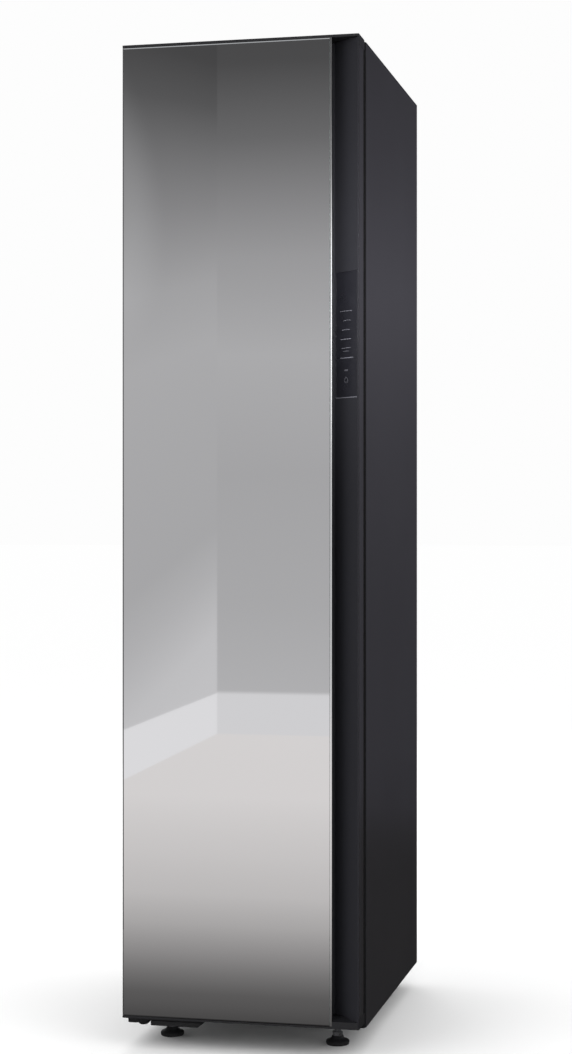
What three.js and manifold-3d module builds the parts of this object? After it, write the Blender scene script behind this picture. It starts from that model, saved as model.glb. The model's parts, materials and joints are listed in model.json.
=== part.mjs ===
// Clothes care steam cabinet: a slim upright cabinet with a mirrored, left-hung door, three hangers in a
// lined chamber and a heat pump, blower and steam generator below it.
// Units are millimetres, +Z is up, the front faces -Y, and the origin is on the floor under the middle.

import * as THREE from 'three';
import { mergeVertices } from 'three/addons/utils/BufferGeometryUtils.js';
import Module from 'manifold-3d';

const wasm = await Module();
wasm.setup();

// Overall sizes
const width = 445;
const height = 1850;
const bodyDepth = 560;
const doorThickness = 52;
const doorGap = 10;
const spacerReach = 10;

// Gauges and clearances
const seat = 0.3;
const running = 0.5;
const sheet = 1.2;
const wall = 2.4;
const glass = 4;
const overrun = 6;
const weld = 0.001;

// Side panels, back panel and top cover
const bodyBottom = 44;
const panLift = 2;
const cornerRadius = 8;
const frontFlange = 16;
const rearFlange = 12;
const coverFlange = 18;
const beadWidth = 46;
const beadRise = 1;
const beadHead = 150;
const beadFoot = 90;
const beadSpacing = 130;
const ventDrop = 140;
const ventInset = 160;
const ventLength = 70;
const ventHeight = 5;
const ventPitch = 16;
const ventCount = 6;

// Front frame and the windows in it
const frameDepth = 18;
const frameCorner = 10;
const wallDepth = 30;
const headroom = 70;
const rearSpace = 56;
const bayInset = 42.5;
const chamberFloorTop = 470;
const bayFloorTop = 113;
const bayCover = 72;
const kickDrop = 19;
const kickLift = 12;

// Chamber liners
const linerRibWidth = 10;
const linerRibRise = 1.5;
const linerRibSpacing = 96;
const linerRibMargin = 40;
const guideReach = 12;
const guideHeight = 9;
const guideMargin = 20;
const ductCoverRise = 8;
const ductCoverHalf = 64;
const ductCoverHead = 160;
const ductCoverFoot = 100;
const louvreLift = 50;
const louvreLength = 110;
const louvreMargin = 37.5;
const louvreHeight = 6;
const louvrePitch = 15;
const louvreCount = 8;

// Hanger rail and hangers
const railDrop = 80;
const railRadius = 11;
const grooveRadius = 10;
const grooveWidth = 16;
const socketRadius = 20;
const socketReach = 9;
const hangerSpacing = 110;
const hangerMargin = 43;
const hangerThickness = 13;
const hangerDrop = 72;
const hangerArm = 30;
const hookWire = 5;
const hookTail = 12;
const hookLean = 20;
const neckLength = 34;
const armTaperShare = 0.45;

// Ceiling nozzles and lamp
const nozzleHalf = 18;
const nozzleLength = 300;
const nozzleDrop = 10;
const nozzleSlot = 36;
const nozzleSlotWidth = 8;
const nozzlePitch = 52;
const nozzleCount = 5;
const lampHalf = 80;
const lampWidth = 20;
const lampThickness = 3;
const lampInset = 20;

// Ducts and insulation
const ductCavity = 30;
const ceilingCavity = 26;

// Shelf
const shelfTop = 700;
const shelfThickness = 8;
const shelfSideGap = 4.5;
const shelfInset = 26;
const shelfSlotWidth = 12;
const shelfSlotPitch = 26;
const shelfBorder = 26;
const shelfLip = 10;
const shelfLipWidth = 6;

// Lint filter and its well
const wellSide = 42.5;
const wellInset = 20.7;
const wellWidth = 80;
const wellDrop = 58;
const filterFlange = 6;
const filterPlate = 4;
const filterSlotWidth = 8;
const filterSlotPitch = 24;
const filterHandleHalf = 40;
const filterHandleHeight = 14;
const filterHandleWidth = 10;

// Tank bay and tanks
const bayDivider = 5;
const tankInset = 22;
const bayEnd = 6;
const tankGap = 2;
const tankWall = 3;
const tankHead = 13;
const tankRadius = 12;
const lidThickness = 9;
const lidPlug = 5;
const lidBorder = 3;
const fillRadius = 16;
const fillHeight = 2.5;
const fillOffset = 46;
const pocketHalf = 45;
const pocketDrop = 35;
const pocketHeight = 30;
const pocketDepth = 22;

// Kick panel
const kickDepth = 9;
const kickSlotMargin = 15;
const kickSlotHeight = 3;
const kickSlotPitch = 7;
const kickSlotCount = 3;

// Base pan and feet
const panThickness = 2;
const panRim = 24;
const footSide = 62.5;
const footFrontInset = 49;
const footRearInset = 36;
const footRadius = 22;
const footPad = 8;
const footCone = 16;
const footShoulder = 10;
const footStem = 6;
const footBoss = 14;
const footBossHeight = 14;
const footThread = 17;

// Compressor
const compressorSide = 102.5;
const compressorGap = 35;
const compressorRadius = 58;
const compressorHeight = 190;
const compressorDome = 26;
const compressorStud = 9;
const compressorStudHeight = 10;
const compressorMountRadius = 72;
const compressorPlate = 3;
const compressorPlateCorner = 13;
const bottleRadius = 17;
const bottleHeight = 110;
const bottleBase = 44;
const bottleReach = 78;

// Heat exchangers
const coilSide = 22.5;
const coilFarSide = 122.5;
const coilDepth = 40;
const coilGap = 10;
const coilClear = 13;
const bayClear = 14;
const coilTop = 232;
const finPitch = 16;
const finThickness = 3;
const coilCore = 12;

// Steam generator, steam pipe and outlet
const generatorSide = 17.5;
const generatorWidth = 85;
const generatorInset = 17;
const generatorDepth = 130;
const generatorTop = 190;
const generatorRadius = 14;
const generatorRib = 6;
const generatorRibRise = 4;
const steamPortInset = 35;
const outletSide = 92.5;
const outletReach = 90;
const steamPortRadius = 11;
const steamPortHeight = 12;
const pipeRadius = 8;
const pipeSides = 12;
const pipeSteps = 14;
const outletRadius = 24;
const outletRise = 12;
const outletLip = 3;
const outletSlot = 4;

// Pumps
const drainPumpX = 40;
const drainPumpGap = 53;
const supplyPumpSide = 62.5;
const supplyPumpGap = 40;
const pumpHeight = 56;
const pumpRadius = 25;
const pumpCap = 12;
const pumpSpoutRadius = 6;
const pumpSpoutReach = 20;

// Blower
const blowerX = 0;
const blowerZ = 270;
const blowerDepth = 60;
const voluteStart = 82;
const voluteGrowth = 46;
const voluteSteps = 28;
const tongueShare = 0.6;
const inletRadius = 60;
const impellerRadius = 72;
const impellerInner = 52;
const impellerDepth = 42;
const impellerPlate = 2;
const impellerHub = 14;
const impellerShaft = 4;
const impellerGap = 5;
const bladeCount = 20;
const bladeThickness = 1.6;
const bladeSweep = 0.32;
const bladeSteps = 3;
const motorRadius = 34;
const motorLength = 40;
const motorArm = 12;
const motorArmCount = 3;
const motorArmRadius = 74;
const motorArmThickness = 3;

// Control box
const controlSide = 17.5;
const controlBottom = 270;
const controlDrop = 30;
const controlDepth = 60;
const controlRib = 3;
const controlRibPitch = 20;

// Inlet gland and rear spacers
const glandSide = 62.5;
const glandZ = 90;
const glandRadius = 14;
const glandFlange = 20;
const glandFlangeThickness = 3;
const glandReach = 7;
const glandBore = 5;
const spacerSide = 19.5;
const spacerDrop = 90;
const spacerRadius = 13;
const spacerTip = 9;

// Door
const doorBottom = 56;
const mirrorFoot = 4;
const mirrorHead = 5;
const mirrorBevel = 1;
const capDepth = 14;
const gripWidth = 50;
const trimWidth = 3.5;
const undercut = 12;
const gripDepth = 40;
const gripFloor = 9.5;
const gripTip = 1.7;
const gripFillet = 6;
const gripLedge = 13;
const ledgeCentreShare = 0.72;
const ledgeRadiusShare = 0.8;
const doorShell = 2;
const linerBorder = 22;
const linerPlate = 2.4;
const linerDepth = 8;
const linerBarHeight = 16;
const linerBarSpacing = 270;
const gasketWidth = 14;
const gasketMargin = 0.5;
const gasketHead = 10;
const gasketFoot = 2;
const gasketLip = 4;

// Display in the grip channel
const displayDrop = 426;
const displayHeight = 227;
const displayGlass = 1.4;
const displayMargin = 3;
const boardThickness = 1.6;
const boardInset = 20;

// Hinges
const pivotInset = 12;
const pinRadius = 4;
const hingePlate = 4;
const hingeEye = 10;
const hingeLeg = 36;
const hingeWidth = 50;
const hingeDrop = 2;
const hingeClear = 1;
const pinReach = 10;
const pinShoulder = 8;
const hingeShelf = 150;
const hingeNutRadius = 13;
const hingeNutDrop = 10.5;
const hingeNutX = 30;
const hingeLugInset = 2;
const hingeLugDrop = 6.5;
const shoeLeft = 49;
const shoeRight = 151;
const shoeSlant = 12;
const shoeHeight = 9.5;
const shoeDepth = 44;
const shoeRadius = 5;
const pocketClearance = 3.5;
const capFront = 5;

// Places that follow from the overall sizes
const half = width / 2;
const depth = doorThickness + doorGap + bodyDepth + spacerReach;
const doorFront = -depth / 2;
const doorBack = doorFront + doorThickness;
const bodyFront = doorBack + doorGap;
const bodyBack = bodyFront + bodyDepth;
const insideHalf = half - sheet - seat;
const frameHalf = half - frontFlange - seat;
const frameBack = bodyFront + frameDepth;
const behindFrame = frameBack + seat;
const panelBack = bodyBack - sheet - seat;
const panelFront = panelBack - sheet;
const inFrontOfPanel = panelFront - seat;
const coverLow = height - coverFlange;
const panBottom = bodyBottom + panLift;
const panTop = panBottom + panThickness;
const onPan = panTop + seat;

// Places in the chamber
const chamberHalf = half - wallDepth;
const chamberTop = height - headroom;
const chamberBack = bodyBack - rearSpace;
const floorLow = chamberFloorTop - wall;
const onFloor = chamberFloorTop + seat;
const railY = (frameBack + chamberBack) / 2;
const railZ = chamberTop - railDrop;
const hangerSpan = chamberBack - frameBack - 2 * hangerMargin;
const ductCoverBottom = shelfTop + ductCoverFoot;
const ductCoverTop = chamberTop - ductCoverHead;
const louvreOffset = chamberHalf - louvreMargin - louvreLength / 2;
const louvreBottom = chamberFloorTop + louvreLift;
const shelfHalf = chamberHalf - shelfSideGap;
const shelfSeat = shelfTop - shelfThickness - seat;
const wellHalf = chamberHalf - wellSide;
const wellFront = frameBack + wellInset + seat;
const wellBack = wellFront + wellWidth;
const wellBottom = chamberFloorTop - wellDrop;

// Places on the back panel
const beadTop = height - beadHead;
const beadBottom = chamberFloorTop + beadFoot;
const ventBottom = chamberFloorTop - ventDrop;
const ventOffset = half - ventInset;
const glandX = -half + glandSide;
const spacerX = half - spacerSide;
const spacerZ = height - spacerDrop;

// Places below the chamber
const bayCeiling = chamberFloorTop - bayCover;
const tankTop = bayCeiling - tankHead;
const pocketTop = tankTop - pocketDrop;
const pocketBottom = pocketTop - pocketHeight;
const kickTop = bayFloorTop - kickDrop;
const kickBottom = panBottom + kickLift;
const bayHalf = half - bayInset;
const kickSlot = bayHalf - 2 * kickSlotMargin;
const footX = half - footSide;
const footFront = bodyFront + footFrontInset;
const footRear = bodyBack - footRearInset;
const compressorX = -half + compressorSide;
const compressorY = inFrontOfPanel - blowerDepth - compressorGap - compressorRadius;
const coilLeft = -half + coilSide;
const coilRight = half - coilFarSide;
const condenserBack = compressorY - compressorMountRadius - compressorPlateCorner - coilClear;
const condenserFront = condenserBack - coilDepth;
const evaporatorFront = condenserFront - coilGap - coilDepth;
const bayBack = evaporatorFront - bayClear;
const tankFront = bodyFront + tankInset;
const tankBack = bayBack - bayEnd;
const generatorRight = half - generatorSide;
const generatorLeft = generatorRight - generatorWidth;
const generatorFront = bayBack + generatorInset;
const generatorBack = generatorFront + generatorDepth;
const steamPortX = (generatorLeft + generatorRight) / 2;
const steamPortY = generatorBack - steamPortInset;
const outletX = half - outletSide;
const outletY = steamPortY + outletReach;
const drainPumpY = condenserBack + drainPumpGap + pumpRadius;
const supplyPumpX = half - supplyPumpSide;
const supplyPumpY = generatorBack + supplyPumpGap + pumpRadius;
const controlLeft = -half + controlSide;
const controlRight = blowerX - voluteStart - voluteGrowth;
const controlTop = chamberFloorTop - controlDrop;

// Places on the door
const pivotX = -half + pivotInset;
const pivotY = -doorThickness / 2;
const pivotWorldY = doorBack + pivotY;
const gasketHalf = chamberHalf + gasketWidth + gasketMargin;
const gasketTop = chamberTop + gasketHead + gasketWidth;
const gasketBottom = bayFloorTop - gasketFoot - gasketWidth;
const displayTop = height - displayDrop;
const displayBottom = displayTop - displayHeight;

// Outlines in a plane
function outline(points, holes = []) {
  const shape = new THREE.Shape(points.map(([a, b]) => new THREE.Vector2(a, b)));
  for (const hole of holes) {
    shape.holes.push(new THREE.Path(hole.map(([a, b]) => new THREE.Vector2(a, b))));
  }
  return shape;
}

function rectangle([a0, a1], [b0, b1]) {
  return [[a0, b0], [a1, b0], [a1, b1], [a0, b1]];
}

function arc(a, b, radius, start, end, steps) {
  const points = [];
  for (let i = 0; i <= steps; i += 1) {
    const angle = start + (end - start) * i / steps;
    points.push([a + radius * Math.cos(angle), b + radius * Math.sin(angle)]);
  }
  return points;
}

function circle(a, b, radius, steps = 20) {
  return arc(a, b, radius, 0, 2 * Math.PI, steps).slice(0, steps);
}

function rounded([a0, a1], [b0, b1], radius, steps = 3) {
  const quarter = Math.PI / 2;
  return [
    ...arc(a1 - radius, b0 + radius, radius, -quarter, 0, steps),
    ...arc(a1 - radius, b1 - radius, radius, 0, quarter, steps),
    ...arc(a0 + radius, b1 - radius, radius, quarter, 2 * quarter, steps),
    ...arc(a0 + radius, b0 + radius, radius, 2 * quarter, 3 * quarter, steps),
  ];
}

// The path shifted to its left by a distance, with mitred corners
function beside(path, distance, closed = false) {
  const count = path.length;
  return path.map((point, i) => {
    const before = closed || i > 0 ? path[(i + count - 1) % count] : null;
    const after = closed || i < count - 1 ? path[(i + 1) % count] : null;
    const normals = [];
    for (const [from, to] of [[before, point], [point, after]]) {
      if (from && to) {
        const length = Math.hypot(to[0] - from[0], to[1] - from[1]);
        normals.push([(from[1] - to[1]) / length, (to[0] - from[0]) / length]);
      }
    }
    const first = normals[0];
    const last = normals[normals.length - 1];
    const mitre = distance / (1 + first[0] * last[0] + first[1] * last[1]);
    return [point[0] + (first[0] + last[0]) * mitre, point[1] + (first[1] + last[1]) * mitre];
  });
}

function ribbon(path, low, high) {
  return [...beside(path, low), ...beside(path, high).reverse()];
}

// Closed solids
function solid(geometry) {
  const bare = geometry.index ? geometry.toNonIndexed() : geometry.clone();
  bare.deleteAttribute('normal');
  bare.deleteAttribute('uv');
  const merged = mergeVertices(bare, weld);
  const index = merged.index.array;
  const triangles = [];
  for (let i = 0; i < index.length; i += 3) {
    const [a, b, c] = [index[i], index[i + 1], index[i + 2]];
    if (a !== b && b !== c && c !== a) {
      triangles.push(a, b, c);
    }
  }
  const vertProperties = new Float32Array(merged.attributes.position.array);
  const triVerts = new Uint32Array(triangles);
  return new wasm.Manifold(new wasm.Mesh({ numProp: 3, vertProperties, triVerts }));
}

function block([x0, x1], [y0, y1], [z0, z1]) {
  const geometry = new THREE.BoxGeometry(x1 - x0, y1 - y0, z1 - z0);
  geometry.translate((x0 + x1) / 2, (y0 + y1) / 2, (z0 + z1) / 2);
  return solid(geometry);
}

// An outline in x and y, raised along Z
function upright(shape, [z0, z1]) {
  const geometry = new THREE.ExtrudeGeometry(shape, { depth: z1 - z0, bevelEnabled: false });
  geometry.translate(0, 0, z0);
  return solid(geometry);
}

// An outline in x and z, drawn out along Y
function facing(shape, [y0, y1], bevel = 0) {
  const options = { depth: y1 - y0 - 2 * bevel, bevelEnabled: bevel > 0, bevelSegments: 1 };
  options.bevelThickness = bevel;
  options.bevelSize = bevel;
  options.bevelOffset = -bevel;
  const geometry = new THREE.ExtrudeGeometry(shape, options);
  geometry.rotateX(Math.PI / 2);
  geometry.translate(0, y1 - bevel, 0);
  return solid(geometry);
}

// An outline in y and z, drawn out along X
function sideways(shape, [x0, x1]) {
  const geometry = new THREE.ExtrudeGeometry(shape, { depth: x1 - x0, bevelEnabled: false });
  const across = new THREE.Vector3(0, 1, 0);
  const up = new THREE.Vector3(0, 0, 1);
  const out = new THREE.Vector3(1, 0, 0);
  geometry.applyMatrix4(new THREE.Matrix4().makeBasis(across, up, out));
  geometry.translate(x0, 0, 0);
  return solid(geometry);
}

// A profile of radius and height, turned about the vertical line through x and y
function turned(profile, x = 0, y = 0, sides = 20) {
  const points = profile.map(([radius, z]) => new THREE.Vector2(radius, z));
  const geometry = new THREE.LatheGeometry(points, sides);
  geometry.rotateX(Math.PI / 2);
  geometry.translate(x, y, 0);
  return solid(geometry);
}

function join(...solids) {
  return solids.reduce((sum, next) => sum.add(next));
}

function cut(whole, ...tools) {
  return tools.reduce((rest, tool) => rest.subtract(tool), whole);
}

// A named piece with its own finish
function piece(name, body, colour, roughness, metalness = 0) {
  const mesh = body.getMesh();
  const geometry = new THREE.BufferGeometry();
  geometry.setAttribute('position', new THREE.BufferAttribute(mesh.vertProperties, 3));
  geometry.setIndex(new THREE.BufferAttribute(mesh.triVerts, 1));
  const material = new THREE.MeshStandardMaterial({ color: colour, roughness, metalness });
  material.flatShading = true;
  const part = new THREE.Mesh(geometry, material);
  part.name = name;
  return part;
}

function spread(count) {
  return Array.from({ length: count }, (_, i) => i);
}

// Side panel: a sheet with a rounded front edge and returns at front and back
function sidePanel(side) {
  const inner = cornerRadius - sheet;
  const quarter = Math.PI / 2;
  const points = [
    [half - frontFlange, bodyFront],
    ...arc(half - cornerRadius, bodyFront + cornerRadius, cornerRadius, -quarter, 0, 5),
    [half, bodyBack],
    [half - rearFlange, bodyBack],
    [half - rearFlange, bodyBack - sheet],
    [half - sheet, bodyBack - sheet],
    ...arc(half - cornerRadius, bodyFront + cornerRadius, inner, 0, -quarter, 5),
    [half - frontFlange, bodyFront + sheet],
  ];
  return upright(outline(points.map(([x, y]) => [side * x, y])), [bodyBottom, height]);
}

// Back panel: a sheet with pressed beads above and vents beside the machinery
function backPanel() {
  const low = panBottom;
  const high = height - sheet - seat;
  let panel = facing(outline(rectangle([-insideHalf, insideHalf], [low, high])), [panelFront, panelBack]);
  for (const i of [-1, 0, 1]) {
    const middle = i * beadSpacing;
    const across = [middle - beadWidth / 2, middle + beadWidth / 2];
    const bead = rounded(across, [beadBottom, beadTop], beadWidth / 2 - seat, 4);
    const hollow = rounded(across.map((x, k) => x + (k ? -sheet : sheet)),
      [beadBottom + sheet, beadTop - sheet], beadWidth / 2 - sheet - seat, 4);
    panel = join(panel, facing(outline(bead), [panelFront, panelBack + beadRise]));
    panel = cut(panel, facing(outline(hollow), [panelFront - overrun, panelFront + beadRise]));
  }
  for (const side of [-1, 1]) {
    for (const i of spread(ventCount)) {
      const z = ventBottom - i * ventPitch;
      const middle = side * (ventOffset + ventLength / 2);
      const across = [middle - ventLength / 2, middle + ventLength / 2];
      panel = cut(panel, block(across, [panelFront - overrun, panelBack + overrun], [z, z + ventHeight]));
    }
  }
  const hole = outline(circle(glandX, glandZ, glandRadius + seat));
  return cut(panel, facing(hole, [panelFront - overrun, panelBack + overrun]));
}

// Top cover: a sheet between the side panels with its edges turned down
function topCover() {
  const step = bodyFront + cornerRadius + seat;
  const plan = [
    [-frameHalf, bodyFront], [frameHalf, bodyFront], [frameHalf, step], [insideHalf, step],
    [insideHalf, panelBack], [-insideHalf, panelBack], [-insideHalf, step], [-frameHalf, step],
  ];
  const top = upright(outline(plan), [height - sheet, height]);
  const front = block([-frameHalf, frameHalf], [bodyFront, bodyFront + sheet], [coverLow, height]);
  const sides = [-1, 1].map((side) => {
    const across = side < 0 ? [-insideHalf, -insideHalf + sheet] : [insideHalf - sheet, insideHalf];
    return block(across, [step, inFrontOfPanel], [coverLow, height]);
  });
  return join(top, front, ...sides);
}

// Front frame: one moulding with windows for the chamber, the tanks and the kick panel
function frontFrame() {
  const windows = [
    rounded([-chamberHalf, chamberHalf], [chamberFloorTop, chamberTop], frameCorner),
    rounded([-bayHalf, bayHalf], [bayFloorTop, bayCeiling], tankGap),
    rounded([-bayHalf, bayHalf], [kickBottom, kickTop], frameCorner / 2),
  ];
  const rim = rectangle([-frameHalf, frameHalf], [panBottom, coverLow - seat]);
  return facing(outline(rim, windows), [bodyFront, frameBack]);
}

// Side liner: a plastic wall with shallow upright ribs, a shelf guide and a socket for the rail
function sideLiner(side) {
  const place = (low, high) => (side > 0 ? [low, high] : [-high, -low]);
  const deep = [behindFrame, chamberBack - seat];
  const tall = [onFloor, chamberTop - seat];
  let liner = block(place(chamberHalf, chamberHalf + wall), deep, tall);
  const ribLow = shelfTop + linerRibMargin;
  const ribHigh = railZ - socketRadius - linerRibMargin;
  const ribs = Math.floor((deep[1] - deep[0] - 2 * linerRibMargin) / linerRibSpacing) + 1;
  const first = (deep[0] + deep[1] - (ribs - 1) * linerRibSpacing) / 2;
  for (const i of spread(ribs)) {
    const y = first + i * linerRibSpacing;
    const across = place(chamberHalf - linerRibRise, chamberHalf + wall / 2);
    liner = join(liner, block(across, [y - linerRibWidth / 2, y + linerRibWidth / 2], [ribLow, ribHigh]));
  }
  const guide = outline([[deep[0] + guideMargin, shelfSeat], [deep[1] - guideMargin, shelfSeat],
    [deep[1] - guideMargin, shelfSeat - guideHeight], [deep[0] + guideMargin, shelfSeat - guideHeight]]);
  liner = join(liner, sideways(guide, place(chamberHalf - guideReach, chamberHalf + wall / 2)));
  const ring = outline(circle(railY, railZ, socketRadius), [circle(railY, railZ, railRadius + seat, 16)]);
  return join(liner, sideways(ring, place(chamberHalf - socketReach, chamberHalf + wall / 2)));
}

// Back liner: a raised duct cover above two banks of return louvres
function backLiner() {
  const edge = chamberHalf - seat;
  let liner = block([-edge, edge], [chamberBack, chamberBack + wall], [onFloor, chamberTop - seat]);
  const cover = rounded([-ductCoverHalf, ductCoverHalf], [ductCoverBottom, ductCoverTop], ductCoverHalf / 2, 4);
  liner = join(liner, facing(outline(cover), [chamberBack - ductCoverRise, chamberBack + wall / 2]));
  const through = [chamberBack - overrun, chamberBack + wall + overrun];
  for (const side of [-1, 1]) {
    for (const i of spread(louvreCount)) {
      const z = louvreBottom + i * louvrePitch;
      const across = [side * louvreOffset - louvreLength / 2, side * louvreOffset + louvreLength / 2];
      liner = cut(liner, block(across, through, [z, z + louvreHeight]));
    }
  }
  return liner;
}

// Ceiling liner: a panel with a row of air nozzles over each hanger
function ceilingLiner() {
  const edge = chamberHalf - seat;
  let ceiling = block([-edge, edge], [behindFrame, chamberBack - seat], [chamberTop, chamberTop + wall]);
  const through = [chamberTop - nozzleDrop - overrun, chamberTop + wall + overrun];
  for (const i of [-1, 0, 1]) {
    const x = i * hangerSpacing;
    const deep = [railY - nozzleLength / 2, railY + nozzleLength / 2];
    const bar = rounded([x - nozzleHalf, x + nozzleHalf], deep, nozzleHalf / 2);
    ceiling = join(ceiling, upright(outline(bar), [chamberTop - nozzleDrop, chamberTop + wall / 2]));
    for (const k of spread(nozzleCount)) {
      const y = railY + (k - (nozzleCount - 1) / 2) * nozzlePitch;
      const long = [y - nozzleSlot / 2, y + nozzleSlot / 2];
      const slot = [x - nozzleSlotWidth / 2, x + nozzleSlotWidth / 2];
      ceiling = cut(ceiling, block(slot, long, through));
    }
  }
  return ceiling;
}

// Chamber floor: a plate with a grilled well for the lint filter and holes for steam and warm air
function floorPanel() {
  const plate = block([-insideHalf, insideHalf], [behindFrame, inFrontOfPanel], [floorLow, chamberFloorTop]);
  const outer = rounded([-wellHalf - wall, wellHalf + wall], [wellFront - wall, wellBack + wall], frameCorner);
  const inner = rounded([-wellHalf, wellHalf], [wellFront, wellBack], frameCorner - wall);
  const well = upright(outline(outer), [wellBottom, floorLow + wall / 2]);
  const hollow = upright(outline(inner), [wellBottom + wall, chamberFloorTop + overrun]);
  let panel = cut(join(plate, well), hollow);
  const count = Math.floor(2 * (wellHalf - filterSlotPitch) / filterSlotPitch);
  for (const i of spread(count)) {
    const x = (i - (count - 1) / 2) * filterSlotPitch;
    const deep = [wellFront + filterSlotWidth, wellBack - filterSlotWidth];
    const across = [x - filterSlotWidth / 2, x + filterSlotWidth / 2];
    panel = cut(panel, block(across, deep, [wellBottom - overrun, wellBottom + wall + overrun]));
  }
  const through = [floorLow - overrun, chamberFloorTop + overrun];
  const steam = upright(outline(circle(outletX, outletY, pipeRadius + seat, 12)), through);
  return cut(panel, steam, block(outletSpan(), ductSpan(), through));
}

// Width of the blower's outlet, and depth of the duct that it feeds
function outletSpan() {
  return [blowerX + voluteStart + wall, blowerX + voluteStart + voluteGrowth - wall];
}

function ductSpan() {
  const middle = (chamberBack + wall + inFrontOfPanel) / 2;
  return [middle - ductCavity / 2, middle + ductCavity / 2];
}

function sideInsulation(side) {
  const low = chamberHalf + wall + seat;
  const across = side > 0 ? [low, insideHalf] : [-insideHalf, -low];
  return block(across, [behindFrame, chamberBack + wall], [onFloor, chamberTop + wall]);
}

// Rear air duct: a foam moulding with the channel that carries air up to the ceiling
function rearDuct() {
  const tall = [onFloor, chamberTop + wall];
  const foam = block([-insideHalf, insideHalf], [chamberBack + wall + seat, inFrontOfPanel], tall);
  const [low, high] = outletSpan();
  const flare = [[low, tall[0] - overrun], [high, tall[0] - overrun], [high, tall[0]],
    [ductCoverHalf * 2, ductCoverBottom], [ductCoverHalf * 2, tall[1] + overrun],
    [-ductCoverHalf * 2, tall[1] + overrun], [-ductCoverHalf * 2, ductCoverBottom], [low, tall[0]]];
  return cut(foam, facing(outline(flare), ductSpan()));
}

// Ceiling duct: a foam moulding, hollow below, that spreads the air over the nozzles
function ceilingDuct() {
  const low = chamberTop + wall + seat;
  const high = coverLow - seat;
  const foam = block([-insideHalf, insideHalf], [behindFrame, inFrontOfPanel], [low, high]);
  const reach = hangerSpacing + 2 * nozzleHalf;
  const deep = [railY - nozzleLength / 2, ductSpan()[1]];
  return cut(foam, block([-reach, reach], deep, [low - overrun, low + ceilingCavity]));
}

// Hanger rail: a turned bar with a groove for each hook
function hangerRail() {
  const end = chamberHalf - seat;
  const slope = railRadius - grooveRadius;
  const profile = [[0, -end], [railRadius, -end]];
  for (const i of [-1, 0, 1]) {
    const x = i * hangerSpacing;
    profile.push([railRadius, x - grooveWidth / 2 - slope], [grooveRadius, x - grooveWidth / 2]);
    profile.push([grooveRadius, x + grooveWidth / 2], [railRadius, x + grooveWidth / 2 + slope]);
  }
  profile.push([railRadius, end], [0, end]);
  const points = profile.map(([radius, x]) => new THREE.Vector2(radius, x));
  const geometry = new THREE.LatheGeometry(points, 16);
  geometry.rotateZ(-Math.PI / 2);
  geometry.translate(0, railY, railZ);
  return solid(geometry);
}

// Hanger: a hook that runs on the rail's groove, a neck and two drooping arms. Its origin is on the rail's axis
function hanger() {
  const radius = grooveRadius + running + hookWire / 2;
  const path = [
    [radius, -hookWire], ...arc(0, 0, radius, 0, Math.PI, 10), [-radius, -hookTail],
    [0, -hookTail - hookLean], [0, -hookTail - hookLean - neckLength],
  ];
  const hook = sideways(outline(ribbon(path, -hookWire / 2, hookWire / 2)), [-hookWire / 2, hookWire / 2]);
  const topZ = -hookTail - hookLean - neckLength / 2;
  const steps = 12;
  const upper = [];
  const lower = [];
  for (const i of spread(steps + 1)) {
    const share = 2 * i / steps - 1;
    const fall = hangerDrop * Math.abs(share) ** 1.5;
    const fullness = 1 - armTaperShare * share ** 2;
    upper.push([share * hangerSpan / 2, topZ - fall]);
    lower.push([share * (hangerSpan / 2 - hangerArm / 4), topZ - fall - hangerArm * fullness]);
  }
  const arms = sideways(outline([...lower, ...upper.reverse()]), [-hangerThickness / 2, hangerThickness / 2]);
  return join(hook, arms);
}

function lampLens() {
  const front = behindFrame + lampInset;
  const plan = rounded([-lampHalf, lampHalf], [front, front + lampWidth], lampWidth / 2 - seat, 4);
  return upright(outline(plan), [chamberTop - seat - lampThickness, chamberTop - seat]);
}

// Shelf: a slotted tray with a raised front lip. Its origin is on its top at the middle of its front
function shelf() {
  const deep = chamberBack - ductCoverRise - (bodyFront + shelfInset);
  const plan = rounded([-shelfHalf, shelfHalf], [0, deep - seat], frameCorner);
  let tray = upright(outline(plan), [-shelfThickness, 0]);
  const count = Math.floor(2 * (shelfHalf - shelfBorder) / shelfSlotPitch);
  for (const i of spread(count)) {
    const x = (i - (count - 1) / 2) * shelfSlotPitch;
    const across = [x - shelfSlotWidth / 2, x + shelfSlotWidth / 2];
    const front = [shelfBorder, deep / 2 - shelfSlotWidth];
    const back = [deep / 2 + shelfSlotWidth, deep - shelfBorder];
    for (const long of [front, back]) {
      tray = cut(tray, block(across, long, [-shelfThickness - overrun, overrun]));
    }
  }
  const wide = [-shelfHalf + frameCorner, shelfHalf - frameCorner];
  return join(tray, block(wide, [0, shelfLipWidth], [-shelfThickness, shelfLip]));
}

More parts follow.
